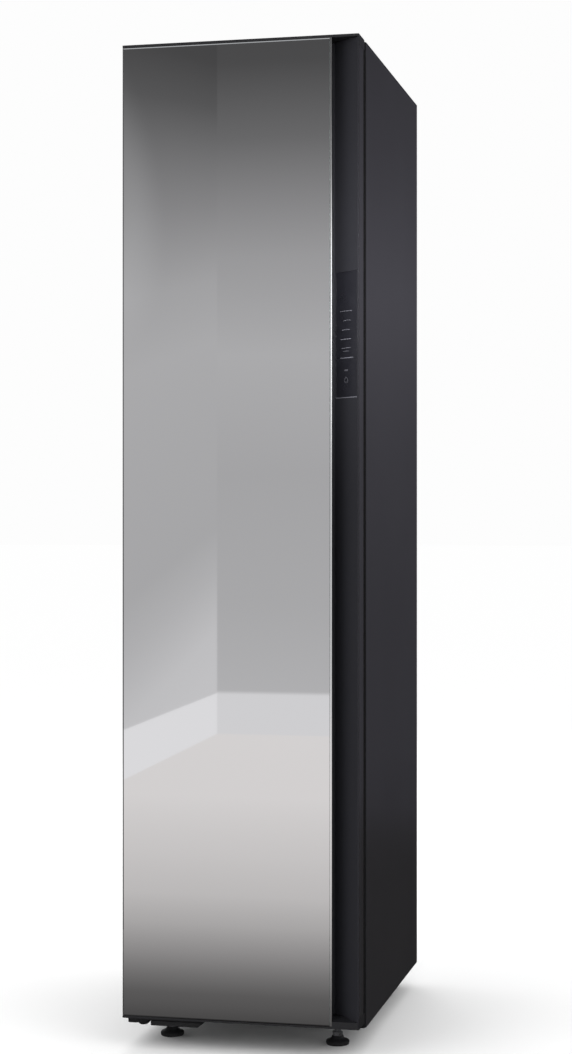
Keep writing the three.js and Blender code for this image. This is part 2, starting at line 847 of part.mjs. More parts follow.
// Lint filter: an open-bottomed basket with slotted ends, a flange on the floor and a bar to lift it by
function lintFilter() {
  const inset = (by) => (
    rounded([-wellHalf + by, wellHalf - by], [wellFront + by, wellBack - by],
      frameCorner - wall - by + running));
  const outer = inset(running);
  const inner = inset(running + wall);
  const rim = rounded([-wellHalf - filterFlange, wellHalf + filterFlange],
    [wellFront - filterFlange, wellBack + filterFlange], frameCorner);
  const basket = upright(outline(outer), [wellBottom + wall + seat, onFloor]);
  const hollow = upright(outline(inner), [wellBottom - overrun, onFloor - wall]);
  let filter = join(cut(basket, hollow), upright(outline(rim), [onFloor, onFloor + filterPlate]));
  const middle = (wellFront + wellBack) / 2;
  const front = [wellFront + filterSlotWidth, middle - filterHandleWidth];
  const back = [middle + filterHandleWidth, wellBack - filterSlotWidth];
  const count = Math.floor(2 * (wellHalf - filterSlotPitch) / filterSlotPitch);
  for (const i of spread(count)) {
    const x = (i - (count - 1) / 2) * filterSlotPitch;
    const slot = [x - filterSlotWidth / 2, x + filterSlotWidth / 2];
    const tall = [onFloor - wall - overrun, onFloor + filterPlate + overrun];
    filter = cut(filter, block(slot, front, tall), block(slot, back, tall));
  }
  const bar = [middle - filterHandleWidth / 2, middle + filterHandleWidth / 2];
  const top = onFloor + filterPlate;
  const handle = cut(
    block([-filterHandleHalf, filterHandleHalf], bar, [top - wall, top + filterHandleHeight]),
    block([-filterHandleHalf + filterHandleWidth, filterHandleHalf - filterHandleWidth],
      [bar[0] - overrun, bar[1] + overrun], [top, top + filterHandleHeight - wall * 2]),
  );
  return join(filter, handle);
}

// Tank bay: an open-fronted moulding with a middle wall and side walls down to the base pan
function tankBay() {
  const outer = bayHalf + wall;
  const deep = [behindFrame, bayBack];
  const body = block([-outer, outer], deep, [bayFloorTop - wall, bayCeiling + wall]);
  const skirts = [-1, 1].map((side) => {
    const across = side > 0 ? [bayHalf, outer] : [-outer, -bayHalf];
    return block(across, [deep[0] + panThickness + seat, deep[1]], [onPan, bayFloorTop]);
  });
  const cells = [[-bayHalf, -bayDivider / 2], [bayDivider / 2, bayHalf]].map((across) => (
    block(across, [deep[0] - overrun, deep[1] - wall], [bayFloorTop, bayCeiling])
  ));
  return cut(join(body, ...skirts), ...cells);
}

// Sizes that the tanks and lids share; a tank's origin is at its middle on the bay's floor, at its front
const tankWidth = bayHalf - bayDivider / 2 - 2 * tankGap;
const tankDepth = tankBack - tankFront;
const tankHeight = tankTop - bayFloorTop;

// Water tank: an open-topped box with rounded corners and a finger pocket in its front
function tank() {
  const side = tankWidth / 2;
  const outer = rounded([-side, side], [0, tankDepth], tankRadius);
  const within = [-side + tankWall, side - tankWall];
  const inner = rounded(within, [tankWall, tankDepth - tankWall], tankRadius - tankWall);
  const full = upright(outline(outer), [seat, tankHeight]);
  const low = pocketBottom - bayFloorTop;
  const high = pocketTop - bayFloorTop;
  const lining = block([-pocketHalf - tankWall, pocketHalf + tankWall], [0, pocketDepth + tankWall],
    [low - tankWall, high + tankWall]);
  const shell = cut(full, upright(outline(inner), [seat + tankWall, tankHeight + overrun]));
  const pocket = block([-pocketHalf, pocketHalf], [-overrun, pocketDepth], [low, high]);
  return cut(join(shell, lining.intersect(full)), pocket);
}

// Tank lid: a plate that plugs into the tank, with a round filler cap
function tankLid() {
  const side = tankWidth / 2;
  const low = tankHeight + seat;
  const plate = rounded([-side, side], [0, tankDepth], tankRadius);
  const inset = tankWall + running;
  const plug = rounded([-side + inset, side - inset], [inset, tankDepth - inset], tankRadius - tankWall);
  const wide = [-side + lidBorder, side - lidBorder];
  const groove = rounded(wide, [lidBorder, tankDepth - lidBorder], tankRadius - lidBorder);
  const body = join(
    upright(outline(plate), [low, low + lidThickness]),
    upright(outline(plug), [low - lidPlug, low + lidThickness / 2]),
  );
  const dish = upright(outline(groove), [low + lidThickness - fillHeight, low + lidThickness + overrun]);
  const capTop = low + lidThickness;
  const cap = upright(outline(circle(0, fillOffset, fillRadius)), [low + lidThickness / 2, capTop]);
  return join(cut(body, dish), cap);
}

function kickPanel() {
  const wide = [-bayHalf + seat, bayHalf - seat];
  const plate = rounded(wide, [kickBottom + seat, kickTop - seat], frameCorner / 2);
  const through = [bodyFront - overrun, bodyFront + kickDepth + overrun];
  let panel = facing(outline(plate), [bodyFront, bodyFront + kickDepth]);
  for (const side of [-1, 1]) {
    for (const i of spread(kickSlotCount)) {
      const z = (kickBottom + kickTop) / 2 + (i - (kickSlotCount - 1) / 2) * kickSlotPitch;
      const middle = side * bayHalf / 2;
      const across = [middle - kickSlot / 2, middle + kickSlot / 2];
      panel = cut(panel, block(across, through, [z - kickSlotHeight / 2, z + kickSlotHeight / 2]));
    }
  }
  return panel;
}

// Base pan: a steel tray with threaded bosses for the feet and studs for the compressor
function basePan() {
  const tray = block([-insideHalf, insideHalf], [behindFrame, inFrontOfPanel], [panBottom, panBottom + panRim]);
  const hollow = block([-insideHalf + panThickness, insideHalf - panThickness],
    [behindFrame + panThickness, inFrontOfPanel - panThickness], [panTop, panBottom + panRim + overrun]);
  let pan = cut(tray, hollow);
  for (const [x, y] of footPlaces()) {
    pan = join(pan, upright(outline(circle(x, y, footBoss)), [panBottom, panBottom + footBossHeight]));
    const bore = [panBottom - overrun, panBottom + footBossHeight + overrun];
    pan = cut(pan, upright(outline(circle(x, y, footStem + seat)), bore));
  }
  for (const [x, y] of compressorStuds()) {
    const stud = outline(circle(x, y, compressorStud, 12));
    pan = join(pan, upright(stud, [panBottom, panTop + compressorStudHeight]));
  }
  return pan;
}

function footPlaces() {
  return [[-footX, footFront], [footX, footFront], [-footX, footRear], [footX, footRear]];
}

// Levelling foot: a pad, a cone and a threaded stem; its origin is on the floor
function foot() {
  const shoulder = panBottom - seat;
  return turned([
    [0, 0], [footRadius, 0], [footRadius, footPad], [footShoulder, footCone], [footShoulder, shoulder],
    [footStem, shoulder], [footStem, shoulder + footThread], [0, shoulder + footThread],
  ]);
}

function compressorStuds() {
  return [0, 1, 2].map((i) => {
    const angle = 2 * Math.PI * (i + 1 / 4) / 3;
    const [across, along] = [Math.cos(angle), Math.sin(angle)];
    return [compressorX + compressorMountRadius * across, compressorY + compressorMountRadius * along];
  });
}

// Compressor: a domed steel shell on a three-cornered foot plate, with a bottle strapped beside it
function compressor() {
  const low = panTop + compressorStudHeight + seat;
  const top = low + compressorHeight;
  const dome = arc(0, 0, 1, 0, Math.PI / 2, 4).map(([across, up], i) => [i < 4 ? across : 0, up]);
  const crown = dome.map(([across, up]) => [across * compressorRadius, top + (up - 1) * compressorDome]);
  const bottom = dome.map(([across, up]) => [across * compressorRadius, low + (1 - up) * compressorDome]);
  const shell = turned([...bottom.reverse(), ...crown], compressorX, compressorY);
  const plates = compressorStuds().map(([x, y]) => {
    const span = Math.hypot(x - compressorX, y - compressorY);
    const along = [(x - compressorX) / span, (y - compressorY) / span];
    const turn = Math.atan2(along[1], along[0]);
    const end = arc(x, y, compressorPlateCorner, turn - Math.PI / 2, turn + Math.PI / 2, 6);
    const side = compressorPlateCorner * 2;
    const start = [[compressorX - along[1] * side, compressorY + along[0] * side],
      [compressorX + along[1] * side, compressorY - along[0] * side]];
    return upright(outline([...end, ...start]), [low, low + compressorPlate]);
  });
  const bottleLow = low + bottleBase;
  const bottle = upright(outline(circle(compressorX + bottleReach, compressorY, bottleRadius, 16)),
    [bottleLow, bottleLow + bottleHeight]);
  const strap = block([compressorX, compressorX + bottleReach],
    [compressorY - bottleRadius / 2, compressorY + bottleRadius / 2],
    [bottleLow + bottleHeight / 3, bottleLow + bottleHeight / 2]);
  return join(shell, ...plates, bottle, strap);
}

// Heat exchanger: upright fins on both faces of a tube core, standing in the base pan
function coil(front) {
  const middle = front + coilDepth / 2;
  const points = [];
  const back = [];
  const count = Math.floor((coilRight - coilLeft - finThickness) / finPitch);
  for (const i of spread(count + 1)) {
    const x = coilLeft + i * finPitch;
    points.push([x, front], [x + finThickness, front]);
    back.push([x, front + coilDepth], [x + finThickness, front + coilDepth]);
    if (i < count) {
      points.push([x + finThickness, middle - coilCore / 2], [x + finPitch, middle - coilCore / 2]);
      back.push([x + finThickness, middle + coilCore / 2], [x + finPitch, middle + coilCore / 2]);
    }
  }
  return upright(outline([...points, ...back.reverse()]), [onPan, coilTop]);
}

// Steam generator: a ribbed boiler with its steam port on top
function steamGenerator() {
  const across = [generatorLeft + generatorRibRise, generatorRight - generatorRibRise];
  const deep = [generatorFront + generatorRibRise, generatorBack - generatorRibRise];
  const boiler = upright(outline(rounded(across, deep, generatorRadius)), [onPan, generatorTop]);
  const plan = rounded([generatorLeft, generatorRight], [generatorFront, generatorBack],
    generatorRadius + generatorRibRise);
  const ribs = [1, 2, 3].map((i) => {
    const z = onPan + (generatorTop - onPan) * i / 4;
    return upright(outline(plan), [z - generatorRib / 2, z + generatorRib / 2]);
  });
  const port = upright(outline(circle(steamPortX, steamPortY, steamPortRadius, 16)),
    [generatorTop - wall, generatorTop + steamPortHeight]);
  return join(boiler, ...ribs, port);
}

function steamPipe() {
  const low = generatorTop + steamPortHeight + seat;
  const high = chamberFloorTop;
  const rise = (high - low) / 4;
  const path = new THREE.CatmullRomCurve3([
    new THREE.Vector3(steamPortX, steamPortY, low),
    new THREE.Vector3(steamPortX, steamPortY, low + rise),
    new THREE.Vector3((steamPortX + outletX) / 2, (steamPortY + outletY) / 2, low + 2 * rise),
    new THREE.Vector3(outletX, outletY, low + 3 * rise),
    new THREE.Vector3(outletX, outletY, high),
  ]);
  const section = outline(circle(0, 0, pipeRadius, pipeSides));
  const options = { steps: pipeSteps, extrudePath: path, bevelEnabled: false };
  return solid(new THREE.ExtrudeGeometry(section, options));
}

// Steam outlet: a low slotted dome over the pipe
function steamOutlet() {
  const low = onFloor;
  const dome = turned([
    [0, low], [outletRadius, low], [outletRadius, low + outletLip],
    [outletRadius / 2, low + outletRise], [0, low + outletRise],
  ], outletX, outletY);
  const slots = [-1, 1].map((side) => {
    const y = outletY + side * outletSlot * 2;
    const across = [outletX - outletRadius / 2, outletX + outletRadius / 2];
    const along = [y - outletSlot / 2, y + outletSlot / 2];
    return block(across, along, [low + outletLip, low + outletRise + overrun]);
  });
  return cut(dome, ...slots);
}

function pump(x, y, turn) {
  const body = turned([
    [0, onPan], [pumpRadius, onPan], [pumpRadius, onPan + pumpHeight - pumpCap],
    [pumpRadius - pumpCap / 2, onPan + pumpHeight], [0, onPan + pumpHeight],
  ], x, y, 20);
  const spout = new THREE.CylinderGeometry(pumpSpoutRadius, pumpSpoutRadius, pumpRadius + pumpSpoutReach, 12);
  spout.translate(0, (pumpRadius + pumpSpoutReach) / 2, 0);
  spout.rotateZ(turn);
  spout.translate(x, y, onPan + pumpHeight / 2);
  return join(body, solid(spout));
}

// Blower housing: a spiral shell with its inlet in front and a straight outlet up through the chamber floor
function blowerHousing() {
  const back = inFrontOfPanel;
  const front = back - blowerDepth;
  const top = floorLow - seat;
  const [low, high] = [blowerX + voluteStart, blowerX + voluteStart + voluteGrowth];
  const drum = (inset, lift) => {
    const radius = voluteStart + wall - inset;
    const points = [];
    for (const i of spread(voluteSteps + 1)) {
      const share = i / voluteSteps;
      const angle = Math.PI / 2 + 1.5 * Math.PI * share;
      const reach = radius + voluteGrowth * share;
      points.push([blowerX + reach * Math.cos(angle), blowerZ + reach * Math.sin(angle)]);
    }
    const inside = low + inset - wall;
    points.push([high - inset + wall, top + lift], [inside, top + lift]);
    points.push([inside, blowerZ + radius * tongueShare]);
    return outline(points);
  };
  const shell = facing(drum(0, 0), [front, back]);
  const hollow = facing(drum(wall, overrun), [front + wall, back - wall]);
  const inlet = outline(circle(blowerX, blowerZ, inletRadius));
  return cut(shell, hollow, facing(inlet, [front - overrun, front + wall + overrun]));
}

// Impeller: curved blades between a back plate and a rim, with its shaft; its origin is on the blower's axis
function impeller() {
  const back = -wall - impellerGap;
  const front = back - impellerDepth;
  const plate = facing(outline(circle(0, 0, impellerRadius, 24)), [back - impellerPlate, back]);
  const eye = circle(0, 0, impellerRadius - impellerHub / 2, 24);
  const rim = facing(outline(circle(0, 0, impellerRadius, 24), [eye]), [front, front + impellerPlate]);
  const hub = facing(outline(circle(0, 0, impellerHub, 16)), [back - impellerDepth / 2, back]);
  const shaft = facing(outline(circle(0, 0, impellerShaft, 12)), [-blowerDepth - motorLength / 2, back]);
  const blades = spread(bladeCount).map((i) => {
    const start = 2 * Math.PI * i / bladeCount;
    const path = spread(bladeSteps + 1).map((k) => {
      const share = k / bladeSteps;
      const radius = impellerInner + (impellerRadius - bladeThickness - impellerInner) * share;
      const angle = start + bladeSweep * share ** 1.4;
      return [radius * Math.cos(angle), radius * Math.sin(angle)];
    });
    const blade = ribbon(path, -bladeThickness / 2, bladeThickness / 2);
    return facing(outline(blade), [front + impellerPlate / 2, back - impellerPlate / 2]);
  });
  return join(plate, rim, hub, shaft, ...blades);
}

// Motor: a can in the blower's inlet, held by three arms on the housing's face
function blowerMotor() {
  const face = inFrontOfPanel - blowerDepth - seat;
  const front = face - motorLength;
  const can = facing(outline(circle(blowerX, blowerZ, motorRadius)), [front, face]);
  const arms = spread(motorArmCount).map((i) => {
    const angle = 2 * Math.PI * i / motorArmCount + Math.PI / 2;
    const [across, up] = [Math.cos(angle), Math.sin(angle)];
    const path = [[blowerX, blowerZ], [blowerX + motorArmRadius * across, blowerZ + motorArmRadius * up]];
    return facing(outline(ribbon(path, -motorArm / 2, motorArm / 2)), [face - motorArmThickness, face]);
  });
  const bore = facing(outline(circle(blowerX, blowerZ, impellerShaft + seat, 12)),
    [face - motorLength / 2 - running, face + overrun]);
  return cut(join(can, ...arms), bore);
}

// Control box: a ribbed enclosure on the back panel
function controlBox() {
  const back = inFrontOfPanel;
  const front = back - controlDepth;
  const box = block([controlLeft, controlRight], [front + controlRib, back], [controlBottom, controlTop]);
  const count = Math.floor((controlTop - controlBottom) / controlRibPitch) - 1;
  const ribs = spread(count).map((i) => {
    const z = controlBottom + (i + 1) * controlRibPitch;
    const across = [controlLeft + controlRib, controlRight - controlRib];
    return block(across, [front, back - controlRib], [z, z + controlRib]);
  });
  return join(box, ...ribs);
}

// Inlet gland: a flanged bush in the back panel, bored for the mains lead
function inletGland() {
  const profile = [
    [glandBore, -overrun], [glandRadius, -overrun], [glandRadius, seat], [glandFlange, seat],
    [glandFlange, seat + glandFlangeThickness], [glandRadius - glandBore / 2, seat + glandReach],
    [glandBore, seat + glandReach], [glandBore, -overrun],
  ];
  const points = profile.map(([radius, y]) => new THREE.Vector2(radius, y));
  const geometry = new THREE.LatheGeometry(points, 20);
  geometry.translate(glandX, panelBack, glandZ);
  return solid(geometry);
}

function rearSpacer(side) {
  const low = bodyBack + seat;
  const geometry = new THREE.CylinderGeometry(spacerTip, spacerRadius, spacerReach - seat, 20);
  geometry.translate(side * spacerX, (low + bodyBack + spacerReach) / 2, spacerZ);
  return solid(geometry);
}

// Door profile in plan, with y counted from the door's back face
const gripEdge = half - gripWidth;
const gripBack = -doorThickness + gripDepth;
const gripCeiling = -doorThickness + glass + seat + wall;

// Finger side of the grip channel, from under the mirror's edge round to the door's corner
function gripPath() {
  const left = gripEdge - undercut;
  const turnIn = arc(left + gripFillet, gripBack - gripFillet, gripFillet, Math.PI, Math.PI / 2, 3);
  return [
    [gripEdge - trimWidth, gripCeiling], [left, gripCeiling], ...turnIn,
    [left + gripFloor, gripBack], [half - gripTip, -doorThickness + seat],
  ];
}

function mirrorRange() {
  return [doorBottom + mirrorFoot, height - mirrorHead];
}

function mirrorPanel() {
  const [low, high] = mirrorRange();
  const shape = outline(rectangle([-half, gripEdge - trimWidth - seat], [low, high]));
  return facing(shape, [-doorThickness, -doorThickness + glass], mirrorBevel);
}

// Edge trim: an angle of bright metal round the mirror's right edge
function mirrorTrim() {
  const [low, high] = mirrorRange();
  const left = gripEdge - trimWidth;
  const front = -doorThickness;
  const plan = [
    [left, front], [gripEdge, front], [gripEdge, gripCeiling], [gripEdge - sheet, gripCeiling],
    [gripEdge - sheet, gripCeiling - wall - seat], [left, gripCeiling - wall - seat],
  ];
  return upright(outline(plan), [low, high]);
}

function gripChannel() {
  const [low, high] = mirrorRange();
  const path = gripPath();
  path[0][0] = gripEdge - trimWidth;
  const wallOutline = outline(ribbon(path, 0, wall));
  const channel = upright(wallOutline, [low + seat, high]);
  return cut(channel, slopePlate([displayMargin - seat, slopeLength() - displayMargin + seat],
    [-overrun, displayGlass + seat], [displayBottom - seat, displayTop + seat]));
}

// The sloping floor of the channel carries the display: along counts from its deep end, inward from its face
function slopeEnds() {
  const path = gripPath();
  return path.slice(path.length - 2);
}

function slopeLength() {
  const [from, to] = slopeEnds();
  return Math.hypot(to[0] - from[0], to[1] - from[1]);
}

function slopePlate([s0, s1], [t0, t1], tall) {
  const [from, to] = slopeEnds();
  const length = slopeLength();
  const along = [(to[0] - from[0]) / length, (to[1] - from[1]) / length];
  const inward = [-along[1], along[0]];
  const corners = rectangle([s0, s1], [t0, t1]);
  return upright(outline(corners.map(([s, t]) => [
    from[0] + along[0] * s + inward[0] * t,
    from[1] + along[1] * s + inward[1] * t,
  ])), tall);
}

function displayWindow() {
  const along = [displayMargin, slopeLength() - displayMargin];
  return slopePlate(along, [0, displayGlass], [displayBottom, displayTop]);
}

function displayBoard() {
  const along = [displayMargin * 2, slopeLength() - boardInset];
  const low = wall + seat;
  const tall = [displayBottom + displayMargin, displayTop - displayMargin];
  return slopePlate(along, [low, low + boardThickness], tall);
}

// Outer outline of the door frame, behind the glass and round the back of the channel
function doorOutline() {
  const hidden = beside(gripPath(), wall + seat).slice(1);
  const last = hidden[hidden.length - 1];
  const before = hidden[hidden.length - 2];
  const slope = (last[1] - before[1]) / (last[0] - before[0]);
  hidden[hidden.length - 1] = [half, last[1] + slope * (half - last[0])];
  hidden[0] = [hidden[0][0], -doorThickness + glass + seat];
  return [...hidden, [half, 0], [-half, 0], [-half, -doorThickness + glass + seat]];
}

function doorFrame() {
  const [low, high] = mirrorRange();
  const outer = doorOutline();
  const inner = beside(outer, doorShell, true);
  const ring = upright(outline(outer, [inner]), [low + capDepth + seat, high - capDepth - seat]);
  return cut(ring, slopePlate([displayMargin, slopeLength() - boardInset + displayMargin],
    [wall, wall + 2 * doorShell + seat], [displayBottom, displayTop]));
}

// End cap: a slab over the door's end and a block behind the glass, with the hinge pin's hole
function doorCap(top) {
  const [low, high] = mirrorRange();
  const slab = top ? [high + seat, height] : [doorBottom, low - seat];
  const blockRange = top ? [high - capDepth, high + seat] : [low - seat, low + capDepth];
  const plate = upright(outline(rectangle([-half, half], [-doorThickness, 0])), slab);
  const plug = upright(outline(doorOutline()), blockRange);
  const bore = top ? [high - capDepth + wall, height + overrun] : [low - capDepth, low + capDepth - wall];
  return cut(join(plate, plug), upright(outline(circle(pivotX, pivotY, pinRadius + seat, 16)), bore));
}

// Top cap: it is recessed at the corner where the upper hinge reaches over the pin
function doorTopCap() {
  const recess = block([-half - overrun, pivotX + hingeEye + pocketClearance],
    [-doorThickness + capFront, overrun], [height - hingeDrop - hingePlate - hingeClear, height + overrun]);
  return cut(doorCap(true), recess);
}

// Bottom cap: it closes the grip channel with a ledge whose top is hollowed
function doorBottomCap() {
  const [low] = mirrorRange();
  const path = beside(gripPath(), -seat).slice(1);
  const front = path[path.length - 1][1];
  const cavity = outline([...path, [gripEdge + seat, front], [gripEdge + seat, path[0][1]]]);
  const plug = upright(cavity, [low - 2 * seat, low + gripLedge]);
  const reach = gripDepth + undercut;
  const centre = low + gripLedge + reach * ledgeCentreShare;
  const dish = outline(circle(front, centre, reach * ledgeRadiusShare, 40));
  return join(doorCap(false), cut(plug, sideways(dish, [gripEdge - gripWidth, half + overrun])));
}

function doorGasket() {
  const outer = rounded([-gasketHalf, gasketHalf], [gasketBottom, gasketTop], gasketWidth, 3);
  const inset = (by) => (
    rounded([-gasketHalf + by, gasketHalf - by], [gasketBottom + by, gasketTop - by], gasketWidth - by, 3));
  const inner = inset(gasketWidth - seat);
  const base = facing(outline(inset(gasketLip), [inset(gasketWidth - gasketLip)]), [seat, doorGap / 2]);
  const bulb = facing(outline(outer, [inner]), [doorGap / 2 - sheet, doorGap - seat]);
  return join(base, bulb);
}

// Door liner: a shallow tray facing the chamber, with cross bars
function doorLiner() {
  const edge = gasketHalf - gasketWidth - running;
  const low = gasketBottom + gasketWidth + running;
  const high = gasketTop - gasketWidth - running;
  const radius = frameCorner;
  const tray = facing(outline(rounded([-edge, edge], [low, high], radius)), [seat, linerDepth]);
  const recesses = [];
  const count = Math.round((high - low - 2 * linerBorder) / linerBarSpacing);
  const pitch = (high - low - 2 * linerBorder + linerBarHeight) / count;
  for (const i of spread(count)) {
    const z = low + linerBorder + i * pitch;
    const field = rounded([-edge + linerBorder, edge - linerBorder], [z, z + pitch - linerBarHeight], radius);
    recesses.push(facing(outline(field), [seat + linerPlate, linerDepth + overrun]));
  }
  return cut(tray, ...recesses);
}

// Upper hinge: a plate over the door's corner with a pin down into the cap and a leg on the body
function upperHinge() {
  const high = height - hingeDrop;
  const low = high - hingePlate;
  const bodySide = bodyFront - seat;
  const plan = [
    ...arc(pivotX, pivotWorldY, hingeEye, Math.PI, 2 * Math.PI, 8),
    [pivotX + hingeEye, bodySide], [pivotX - hingeEye, bodySide],
  ];
  const plate = upright(outline(plan), [low, high]);
  const left = pivotX - hingeEye;
  const leg = block([left, left + hingeWidth], [bodySide - hingePlate, bodySide], [high - hingeLeg, high]);
  const pin = upright(outline(circle(pivotX, pivotWorldY, pinRadius, 16)),
    [low - pinReach + hingeDrop, low + hingePlate / 2]);
  return join(plate, leg, pin);
}

// Lower hinge: a plate under the door with a shouldered pin, a nut below it and a leg on the body
function lowerHinge() {
  const high = doorBottom - hingeDrop;
  const low = high - hingePlate;
  const bodySide = bodyFront - seat;
  const left = pivotX - hingeEye;
  const front = pivotWorldY - hingeEye;
  const plan = [
    ...arc(left + hingeEye, front + hingeEye, hingeEye, Math.PI, 1.5 * Math.PI, 5),
    ...arc(left + hingeShelf - hingeEye, front + hingeEye, hingeEye, 1.5 * Math.PI, 2 * Math.PI, 5),
    [left + hingeShelf, bodySide], [left, bodySide],
  ];
  const plate = upright(outline(plan), [low, high]);
  const leg = block([left, left + hingeWidth], [bodySide - hingePlate, bodySide], [low, low + hingeLeg]);
  const shoulder = upright(outline(circle(pivotX, pivotWorldY, pinShoulder, 16)),
    [high - hingePlate / 2, doorBottom - seat]);
  const pin = upright(outline(circle(pivotX, pivotWorldY, pinRadius, 16)),
    [high - hingePlate / 2, doorBottom + pinReach]);
  const lug = upright(outline(rounded([left + hingeLugInset, left + hingeNutX - hingeNutRadius / 2],
    [front + hingeLugInset, bodySide - hingeLugInset], shoeRadius)),
    [low - hingeLugDrop, low + hingePlate / 2]);
  const nut = turned([
    [0, low - hingeNutDrop], [hingeNutRadius / 2, low - hingeNutDrop], [hingeNutRadius, low - hingeNutDrop / 2],
    [hingeNutRadius, low + hingePlate / 2], [0, low + hingePlate / 2],
  ], left + hingeNutX, front + hingeNutRadius, 20);
  return join(plate, leg, shoulder, pin, lug, nut);
}

// Hinge shoe: a moulded block under the hinge plate with a slanted right end
function hingeShoe() {
  const high = doorBottom - hingeDrop - hingePlate - seat;
  const low = high - shoeHeight;
  const left = -half + shoeLeft;
  const right = -half + shoeRight;
  const front = pivotWorldY - hingeEye;
  const face = [[left, low], [right - shoeSlant, low], [right, high], [left, high]];
  return facing(outline(face), [front, front + shoeDepth]);
}

// Finishes, as colour, roughness and metalness
const sidePaint = [0x46454a, 0.45, 0.35];
const blackPlastic = [0x17171a, 0.55];
const palePlastic = [0xd9d9d6, 0.5];
const greyPlastic = [0x8b8d90, 0.55];
const steel = [0x9a9da1, 0.35, 0.9];
const foam = [0xcfcfca, 0.9];

const cabinet = new THREE.Group();
const door = new THREE.Group();
door.position.set(0, doorBack, 0);

function place(group, x, y, z, ...parts) {
  for (const part of parts) {
    part.position.set(x, y, z);
    group.add(part);
  }
}

// Body
cabinet.add(
  piece('base_pan', basePan(), ...steel),
  piece('side_panel_left', sidePanel(-1), ...sidePaint),
  piece('side_panel_right', sidePanel(1), ...sidePaint),
  piece('back_panel', backPanel(), ...steel),
  piece('top_cover', topCover(), ...sidePaint),
  piece('front_frame', frontFrame(), ...blackPlastic),
  piece('kick_panel', kickPanel(), ...blackPlastic),
  piece('inlet_gland', inletGland(), ...blackPlastic),
  piece('rear_spacer_left', rearSpacer(-1), ...blackPlastic),
  piece('rear_spacer_right', rearSpacer(1), ...blackPlastic),
  piece('upper_hinge', upperHinge(), ...steel),
  piece('lower_hinge', lowerHinge(), ...blackPlastic),
  piece('hinge_shoe', hingeShoe(), ...blackPlastic),
);
footPlaces().forEach(([x, y], i) => {
  const name = ['foot_front_left', 'foot_front_right', 'foot_rear_left', 'foot_rear_right'][i];
  place(cabinet, x, y, 0, piece(name, foot(), ...blackPlastic));
});

// Chamber
cabinet.add(
  piece('liner_left', sideLiner(-1), ...palePlastic),
  piece('liner_right', sideLiner(1), ...palePlastic),
  piece('liner_back', backLiner(), ...palePlastic),
  piece('liner_ceiling', ceilingLiner(), ...palePlastic),
  piece('chamber_floor', floorPanel(), ...greyPlastic),
  piece('insulation_left', sideInsulation(-1), ...foam),
  piece('insulation_right', sideInsulation(1), ...foam),
  piece('rear_air_duct', rearDuct(), ...foam),
  piece('ceiling_duct', ceilingDuct(), ...foam),
  piece('hanger_rail', hangerRail(), 0xc4c7cb, 0.25, 0.9),
  piece('lamp_lens', lampLens(), 0xf2f2ee, 0.3),
  piece('lint_filter', lintFilter(), ...greyPlastic),
);
['hanger_left', 'hanger_middle', 'hanger_right'].forEach((name, i) => {
  place(cabinet, (i - 1) * hangerSpacing, railY, railZ, piece(name, hanger(), 0x3a3b3f, 0.5));
});
place(cabinet, 0, bodyFront + shelfInset, shelfTop, piece('shelf', shelf(), ...palePlastic));

// Water tanks
cabinet.add(piece('tank_bay', tankBay(), ...greyPlastic));
[['supply_tank', -1], ['drain_tank', 1]].forEach(([name, side]) => {
  const x = side * (bayDivider / 2 + bayHalf) / 2;
  place(cabinet, x, tankFront, bayFloorTop,
    piece(name, tank(), 0x2a2c30, 0.3),
    piece(`${name}_lid`, tankLid(), ...blackPlastic));
});

// Machinery
cabinet.add(
  piece('compressor', compressor(), 0x1c1d1f, 0.4, 0.4),
  piece('evaporator', coil(evaporatorFront), 0xb9bcc0, 0.4, 0.8),
  piece('condenser', coil(condenserFront), 0xb9bcc0, 0.4, 0.8),
  piece('steam_generator', steamGenerator(), 0xb4b0a6, 0.5),
  piece('steam_pipe', steamPipe(), 0x2c2c2e, 0.7),
  piece('steam_outlet', steamOutlet(), ...greyPlastic),
  piece('drain_pump', pump(drainPumpX, drainPumpY, 0), ...greyPlastic),
  piece('supply_pump', pump(supplyPumpX, supplyPumpY, Math.PI / 2), ...greyPlastic),
  piece('blower_housing', blowerHousing(), ...greyPlastic),
  piece('blower_motor', blowerMotor(), ...steel),
  piece('control_box', controlBox(), ...palePlastic),
);
place(cabinet, blowerX, inFrontOfPanel, blowerZ, piece('blower_impeller', impeller(), ...blackPlastic));

// Door
door.add(
  piece('door_frame', doorFrame(), ...sidePaint),
  piece('mirror_panel', mirrorPanel(), 0xa9abad, 0.04, 1),
  piece('mirror_trim', mirrorTrim(), 0xd6d7d8, 0.2, 0.95),
  piece('grip_channel', gripChannel(), ...blackPlastic),
  piece('display_window', displayWindow(), 0x0c0c0e, 0.12),
  piece('display_board', displayBoard(), 0x24502f, 0.6),
  piece('door_top_cap', doorTopCap(), ...blackPlastic),
  piece('door_bottom_cap', doorBottomCap(), ...blackPlastic),
  piece('door_liner', doorLiner(), ...palePlastic),
  piece('door_gasket', doorGasket(), 0x5d5f62, 0.85),
);
cabinet.add(door);

export default cabinet;
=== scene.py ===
import json
import math

